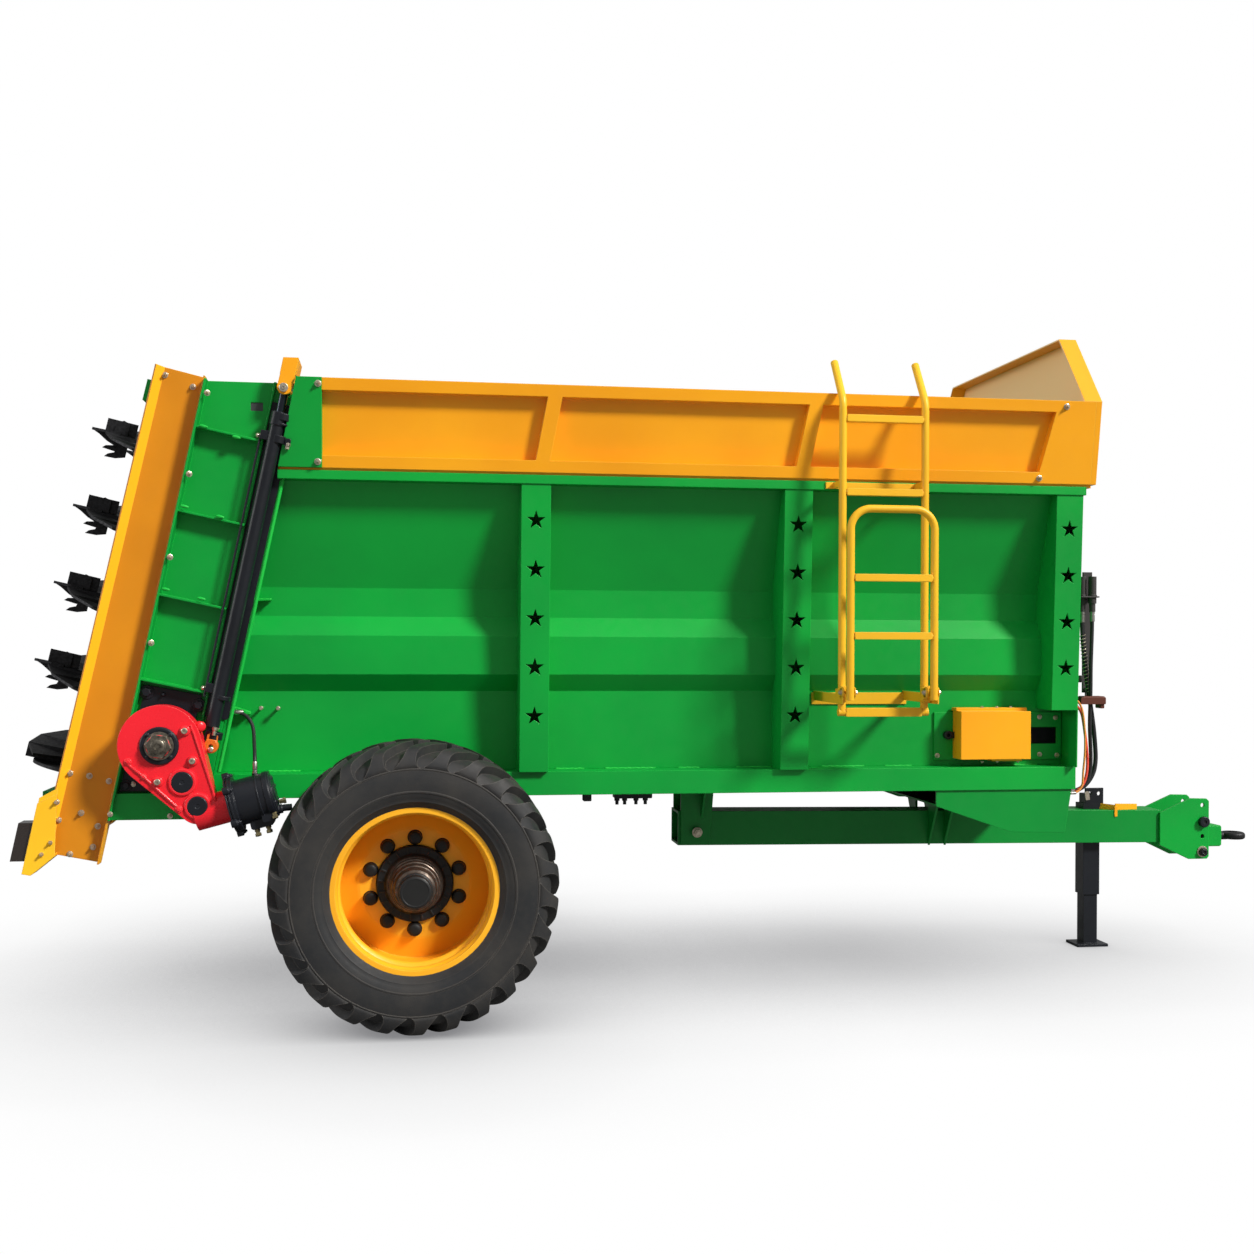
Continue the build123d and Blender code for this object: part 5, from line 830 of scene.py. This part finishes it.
def floor_drive():
    """The gearbox's covers, shaft nut, bosses and ribs, the bearing plates' bolts and the motor."""
    out = -LEFT
    shaft = mm(SHAFT[0], GEARBOX_Y, SHAFT[1])
    dark = Piece("gearbox_covers")
    dark.turned(SHAFT_COVER, shaft, out, 56)
    for x, z, r, _ in COVERS:
        dark.turned([(4, r + 1), (9.5, r + 0.5), (11, r - 1.5), (11, 9), (9, 7), (9, 3), (10, 0)],
                    mm(x, GEARBOX_Y, z), out, 40)
    for x, z, size in PLATE_NUTS:
        place = mm(x, skin(("bearing_plates",), x, z), z)
        dark.turned(head(size, 4.5, 1.5), place, out, 32)
        dark.turned([(4, 0), (4, size * 0.66), (16, size * 0.66), (18, size * 0.55), (18, 0)], place, out, 6)
    for turn in (45, 135, 225, 315):
        x, z = COVER_CIRCLE * cos(radians(turn)), COVER_CIRCLE * sin(radians(turn))
        hex_bolt(dark, mm(SHAFT[0] + x, GEARBOX_Y - 10, SHAFT[1] + z), out, 5.5, 4, washer=1.2)
    dark.done(BLACK)

    nut = Piece("shaft_nut")
    nut.turned(SHAFT_WASHER, shaft, out, 40)
    nut.turned(SHAFT_NUT, shaft, out, 6, 0.1)
    nut.turned(SHAFT_END, shaft, out, 32)
    nut.done(WORN)

    red = Piece("gearbox_bosses")
    bolts = Piece("gearbox_bolts")
    for x, z in ((-831, 1072), (-803, 962), (-925, 887)):
        red.turned([(0, 20), (5, 19.5), (9, 16.5), (10, 12), (10, 0)], mm(x, GEARBOX_Y, z), out, 28)
        bolts.turned(socket(11.5, 13, 2, 5.98, 5.85, 5.175), mm(x, GEARBOX_Y - 9, z), out, 20)
    for x, z, size in ((-1030, 960, 11), (-975, 905, 9), (-851, 786, 11)):
        place = mm(x, GEARBOX_Y, z)
        red.turned([(-4, size + 3), (3, size + 3), (5, size + 1), (5, 0)], place, out, 20)
        red.turned([(5, 0), (5, size * 0.7), (10, size * 0.65), (11, 0)], place, out, 6)
    for x, z, _, r in COVERS:
        place = mm(x, GEARBOX_Y, z)
        red.turned([(0, r + 6), (5, r + 3), (8.5, r - 1), (8.5, r - 9), (5, r - 11)], place, out, 48)
    for radius, rib in CAST_RIBS:
        red.sweep([mm(x, GEARBOX_Y - high, z) for x, high, z in rib], radius, 8)
    red.turned([(-20, 19), (2, 19), (10, 15), (13, 8), (14, 0)], mm(-778, -880, 1086), (0.5, -1, 0))
    red.done(RED)
    bolts.done(ZINC)
    floor_motor()


def floor_motor():
    """The hydraulic motor's flange, bands, bolts, blocks, pipe and unions. It points forwards and up."""
    along = Vector((cos(MOTOR_LEAN), 0, sin(MOTOR_LEAN)))
    up = along.cross(LEFT)
    flange = mm(*MOTOR_FLANGE)
    motor = Piece("motor_fittings")
    for profile in MOTOR_BODY:
        motor.turned(profile, flange, along, 56)
    for step in range(8):
        turn = radians(22.5 + 45 * step)
        hex_bolt(motor, flange + along * 0.15 + (LEFT * cos(turn) + up * sin(turn)) * 0.064, along, 7, 6, 2)
    for turn in (90, 270, 35, 145, 215, 325):
        place = flange + (LEFT * cos(radians(turn)) + up * sin(radians(turn))) * 0.106
        motor.turned([(-13, 0), (-13, 15), (9, 15), (9, 0)], place, along, 20)
        hex_bolt(motor, place + along * 0.009, along, 9, 8, 6)
    motor.plate(flange + along * 0.086 - up * 0.086, (84, 44, 70), along, up, 6)
    motor.plate(flange + along * 0.12 - up * 0.07 - LEFT * 0.04, (52, 40, 40), along, up, 6)
    motor.sweep([mm(x, -850, z) for x, z in ((-540, 752), (-512, 772), (-480, 781), (-452, 783))], 13, 14)
    motor.turned([(0, 0), (0, 17), (22, 17), (24, 0)], mm(-508, -850, 774), (1, 0, 0.2), 18)
    motor.done(BLACK)

    brass = Piece("motor_unions")
    for way, drop, off in ((0.062, 0.11, -0.018), (0.104, 0.108, -0.018), (0.14, 0.06, -0.052)):
        brass.turned(UNION, flange + along * way - up * drop + LEFT * off, -up - LEFT * 0.3, 6)
    last = flange + along * 0.163 - up * 0.035
    brass.turned([(0, 0), (0, 9), (14, 9), (15, 12), (24, 12), (25, 0)], last, along, 6)
    brass.turned([(0, 0), (0, 10), (6, 10), (7, 8), (14, 8), (14, 0)], mm(-589, -827, 884), UP, 6)
    brass.done(BRASS)


# A beater as in the CAD: its lean, its foot, and where its blades stand along its axis.
BEATER_LEAN = radians(13.1)
BEATER_FOOT = (-1287.322, 355, 880)
BLADE_START, BEATER_PITCH, BLADES_A_TURN = 74, 314, 4
BLADE_STEPS = range(4, 17)      # quarter turns with a blade
# A blade's plates: way ahead of the blade, thickness, and corners outwards and along the axis.
BLADE_PLATES = (
    (-9, 18, ((150, -44), (196, -46), (228, -34), (262, -14), (289, -3), (289, 4), (150, 4))),
    (16, 8, ((150, 0), (205, 0), (199, 44), (176, 58), (150, 50))),
    (-30, 9, ((150, -62), (196, -66), (244, -62), (232, -50), (206, -44), (190, -20), (150, -10))),
    (20, 9, ((140, -84), (176, -96), (218, -98), (206, -84), (184, -74), (170, -30), (140, -20))))


def beater_blades(side, body):
    """Webs, inner uprights and lower hooks of the pointed blades."""
    x, y, z = BEATER_FOOT
    foot = mm(x, side * y, z)
    along = Vector((sin(BEATER_LEAN), 0, cos(BEATER_LEAN)))
    rearward = Vector((-cos(BEATER_LEAN), 0, sin(BEATER_LEAN)))
    piece = Piece("blades_" + body.split("_")[1])
    for step in BLADE_STEPS:
        turn = radians(360 / BLADES_A_TURN * step * side)
        away = rearward * cos(turn) - LEFT * sin(turn)
        across = along.cross(away)
        root = foot + along * (BLADE_START + BEATER_PITCH * step / BLADES_A_TURN) / 1000
        for ahead, deep, outline in BLADE_PLATES:
            piece.prism(root + across * ahead / 1000, outline, away, along, deep)
    piece.done(BLADE, body)


# ---- front end
FRONT_FLANGE = ((588, 893), (731, 893), (736, 1136), (588, 1136))   # y and z
HITCH_SCREWS = ((3645, 576, 25, 30), (3641, 437, 16, 6))            # x, z, radius and corners
PLATE_BOLTS = ((2604, 1095), (2675, 1092), (2605, 937), (2682, 933), (2154, 935), (2232, 932))


def front_end():
    """Fittings of tensioners, hitch and drawbar, front flanges, the shank's cover and the beam's strap."""
    steel = Piece("front_bolts")
    side_bolts(steel, ("tensioner_plates",), PLATE_BOLTS, 7.5, 7, 4, 1.45)
    side_bolts(steel, ("drawbar_hanger",), ((1237, 566),), 17, 12, 6)
    for side in SIDES:
        for x in (2332, 2396, 2457):
            hex_bolt(steel, mm(x, side * 640, 1136), UP, 6, 4)
        for x in (2333, 2399, 2490):
            hex_bolt(steel, mm(x, side * 640, 914), -UP, 6, 4, 3)
    steel.done(ZINC)

    black = Piece("tensioner_screws")
    for side in SIDES:
        y = skin(("tensioner_plates",), 2190, 1021, side)
        black.plate(mm(2216, y + side * 10, 1021), (60, 26, 14))
        black.turned(socket(18, 23, 3, 8, 17, 7), mm(2196, y, 1021), side * LEFT)
        black.plate(mm(2598, y - side * 10, 1017), (200, 74, 4))
    for x, z, size, corners in HITCH_SCREWS:
        black.turned(socket(size, 20, 3, 9, 12, 8), mm(x, -92, z), -LEFT, corners)
    black.plate(mm(890, -470, 778), (156, 34, 60))
    for x in (826, 858, 905, 944):
        black.turned([(0, 0), (0, 11), (14, 11), (16, 7), (30, 7), (30, 0)], mm(x, -470, 764), -UP, 12)
    black.plate(mm(690, -560, 780), (34, 40, 30))
    black.done(BLACK)

    washers = Piece("hitch_washers")
    washers.turned(head(26, 5, 1.5), mm(3641, -92, 437), -LEFT, 36)
    washers.turned([(0, 0), (0, 22), (3, 22), (3, 0)], mm(3645, -92, 576), -LEFT, 36)
    washers.plate(mm(3085, -62, 700), (20, 40, 4), (1, 0, 0.15), (-0.15, 0, 1))
    washers.done(ZINC)

    flange = Piece("front_flanges")
    for side in SIDES:
        flange.prism(mm(FRONT_X - 2, 0, 0), [(side * y, z) for y, z in FRONT_FLANGE], LEFT, UP, -5)
    flange.done(GREEN)

    shank = Piece("hitch_shank_cover")
    for y in (-62, 62):
        shank.plate(mm(3713, y, 504.5), (80, 93, 3.5), cut=6)
    for z in (457.5, 551):
        shank.plate(mm(3713, 0, z), (80, 122, 3.5), FORWARD, LEFT, 6)
    shank.plate(mm(3754, 0, 504.5), (122, 93, 3.5), LEFT, UP, 6)
    shank.done(GREEN)

    strap = Piece("beam_strap")
    for start, end in (((3142, -20), (3214, -76)), ((3214, -76), (3338, -42))):
        first, last = mm(*start, 634), mm(*end, 632)
        length = (last - first).length * 1000
        strap.prism(first, [(0, 0), (length, 0), (length, 26), (0, 30)], last - first, UP, 4)
    strap.plate(mm(3216, -81, 630), (14, 52, 5))
    strap.done(YELLOW)


RUNG_X = 1816
HINGE_XS = (1648, 1984)
# Rungs of the ladder and of its hoop: name of their treads, body, y, then z and height of each.
RUNGS = (("ladder_treads", "root", -900, ((2281, 28), (1993, 28), (1132, 34))),
         ("hoop_treads", "ladder_hoop", -1008, ((1654, 28), (1431, 28))))


def ladder_joints():
    """Flat treads round the rungs, and the cheeks, blocks and bolts of the folding hoop's hinges."""
    for name, body, y, rungs in RUNGS:
        treads = Piece(name)
        for z, high in rungs:
            treads.plate(mm(RUNG_X, y, z), (308, high, 32))
        treads.done(LADDER_YELLOW, body)
    cheeks = Piece("hinge_cheeks")
    bolts = Piece("hinge_bolts")
    for x in HINGE_XS:
        cheeks.plate(mm(x, -924, 1204), (36, 64, 20), cut=8)
        for way in SIDES:
            place = mm(x + way * 21, -980, 1212)
            cheeks.turned([(0, 0), (0, 21), (1, 22), (4, 22), (5, 21), (5, 0)], place, way * FORWARD)
            cheeks.plate(place + Vector((way * 0.0025, 0.012, -0.004)), (34, 40, 5), LEFT, UP, 5)
            hex_bolt(bolts, place + way * 0.005 * FORWARD, way * FORWARD, 9, 8, 4)
    cheeks.done(LADDER_YELLOW)
    bolts.done(ZINC)


# ---- studio
EYE = (-0.0537, -6.4028, 1.41)
TURN, ROLL = radians(-8.8), 0.0047      # towards the hitch, and about the line of sight


def camera():
    """The photo's view: a level camera whose picture is shifted, not tilted."""
    data = bpy.data.cameras.new("camera")
    data.sensor_width = 36
    data.lens = 41.885
    data.shift_y = 0.0104
    made = placed("camera", data)
    made.matrix_world = (Matrix.Translation(at(*EYE)) @ Matrix.Rotation(TURN, 4, "Z")
                         @ Matrix.Rotation(radians(90), 4, "X") @ Matrix.Rotation(ROLL, 4, "Z"))
    bpy.context.scene.camera = made


def sun(name, direction, strength, angle, colour):
    """Light from far away, from where direction points. angle is its size in degrees."""
    data = bpy.data.lights.new(name, "SUN")
    data.energy = strength
    data.angle = radians(angle)
    data.color = colour
    made = placed(name, data)
    made.rotation_euler = Vector(direction).to_track_quat("Z", "Y").to_euler()


def world():
    """White for the camera, a softer sky for reflections and for light in the shadows."""
    made = bpy.data.worlds.new("studio")
    bpy.context.scene.world = made
    made.use_nodes = True
    tree = made.node_tree
    background = tree.nodes["Background"]
    path = node(tree, "LightPath")
    coords = node(tree, "TexCoord")
    split = node(tree, "SeparateXYZ")
    link(tree, coords.outputs["Generated"], split.inputs[0])
    sky = ramp(tree, split.outputs["Z"], 0, 0.9, 0.17, 0.62)
    strength = node(tree, "Mix")
    link(tree, path.outputs["Is Camera Ray"], strength.inputs[0])
    link(tree, sky, strength.inputs[2])
    strength.inputs[3].default_value = 1.0
    link(tree, strength.outputs[0], background.inputs["Strength"])
    background.inputs["Color"].default_value = (1, 1, 1, 1)


def floor():
    """White floor without a horizon: the camera sees a glowing white floor with a painted shadow, grey where
    the machine covers it, and other rays see a plain grey floor.
    """
    data = bpy.data.meshes.new("studio_floor")
    half = 60
    corners = [(-half, -half, 0), (half, -half, 0), (half, half, 0), (-half, half, 0)]
    data.from_pydata(corners, [], [(0, 1, 2, 3)])
    made = placed("studio_floor", data)
    material, tree, shader = new_material("studio_floor")
    give(shader, {"Base Color": (0.22, 0.22, 0.22, 1), "Roughness": 0.9})
    near = node(tree, "AmbientOcclusion", samples=24, Distance=1.3)
    glow = node(tree, "Emission", Strength=1)
    # Painted shadow: the glowing floor turns grey where ambient occlusion finds the machine near.
    painted_shadow_tone, bare = (0.23, 0.23, 0.24), (1, 1, 1)
    link(tree, mix(tree, ramp(tree, near.outputs["AO"], 0.1, 1), painted_shadow_tone, bare), glow.inputs["Color"])
    blend = node(tree, "MixShader")
    path = node(tree, "LightPath")
    link(tree, path.outputs["Is Camera Ray"], blend.inputs["Fac"])
    link(tree, shader.outputs["BSDF"], blend.inputs[1])
    link(tree, glow.outputs["Emission"], blend.inputs[2])
    link(tree, blend.outputs[0], tree.nodes["Material Output"].inputs["Surface"])
    data.materials.append(material)


camera()
hoses()
for side, body in zip(SIDES, ("wheel_right", "wheel_left")):
    tyre(body.replace("wheel", "tyre") + "_rubber", body, side)
    wheel_end(side, body)
    beater_blades(side, body.replace("wheel", "beater"))
rear_end()
wing_faces()
gate_cylinders()
floor_drive()
front_end()
ladder_joints()
world()
floor()
sun("key", (1.15, -1, 1.15), 4.3, 10, (1, 0.98, 0.94))
sun("rear_fill", (-1, -0.12, 0.25), 0.9, 30, (1, 1, 1))
bpy.context.scene.view_settings.view_transform = "Standard"
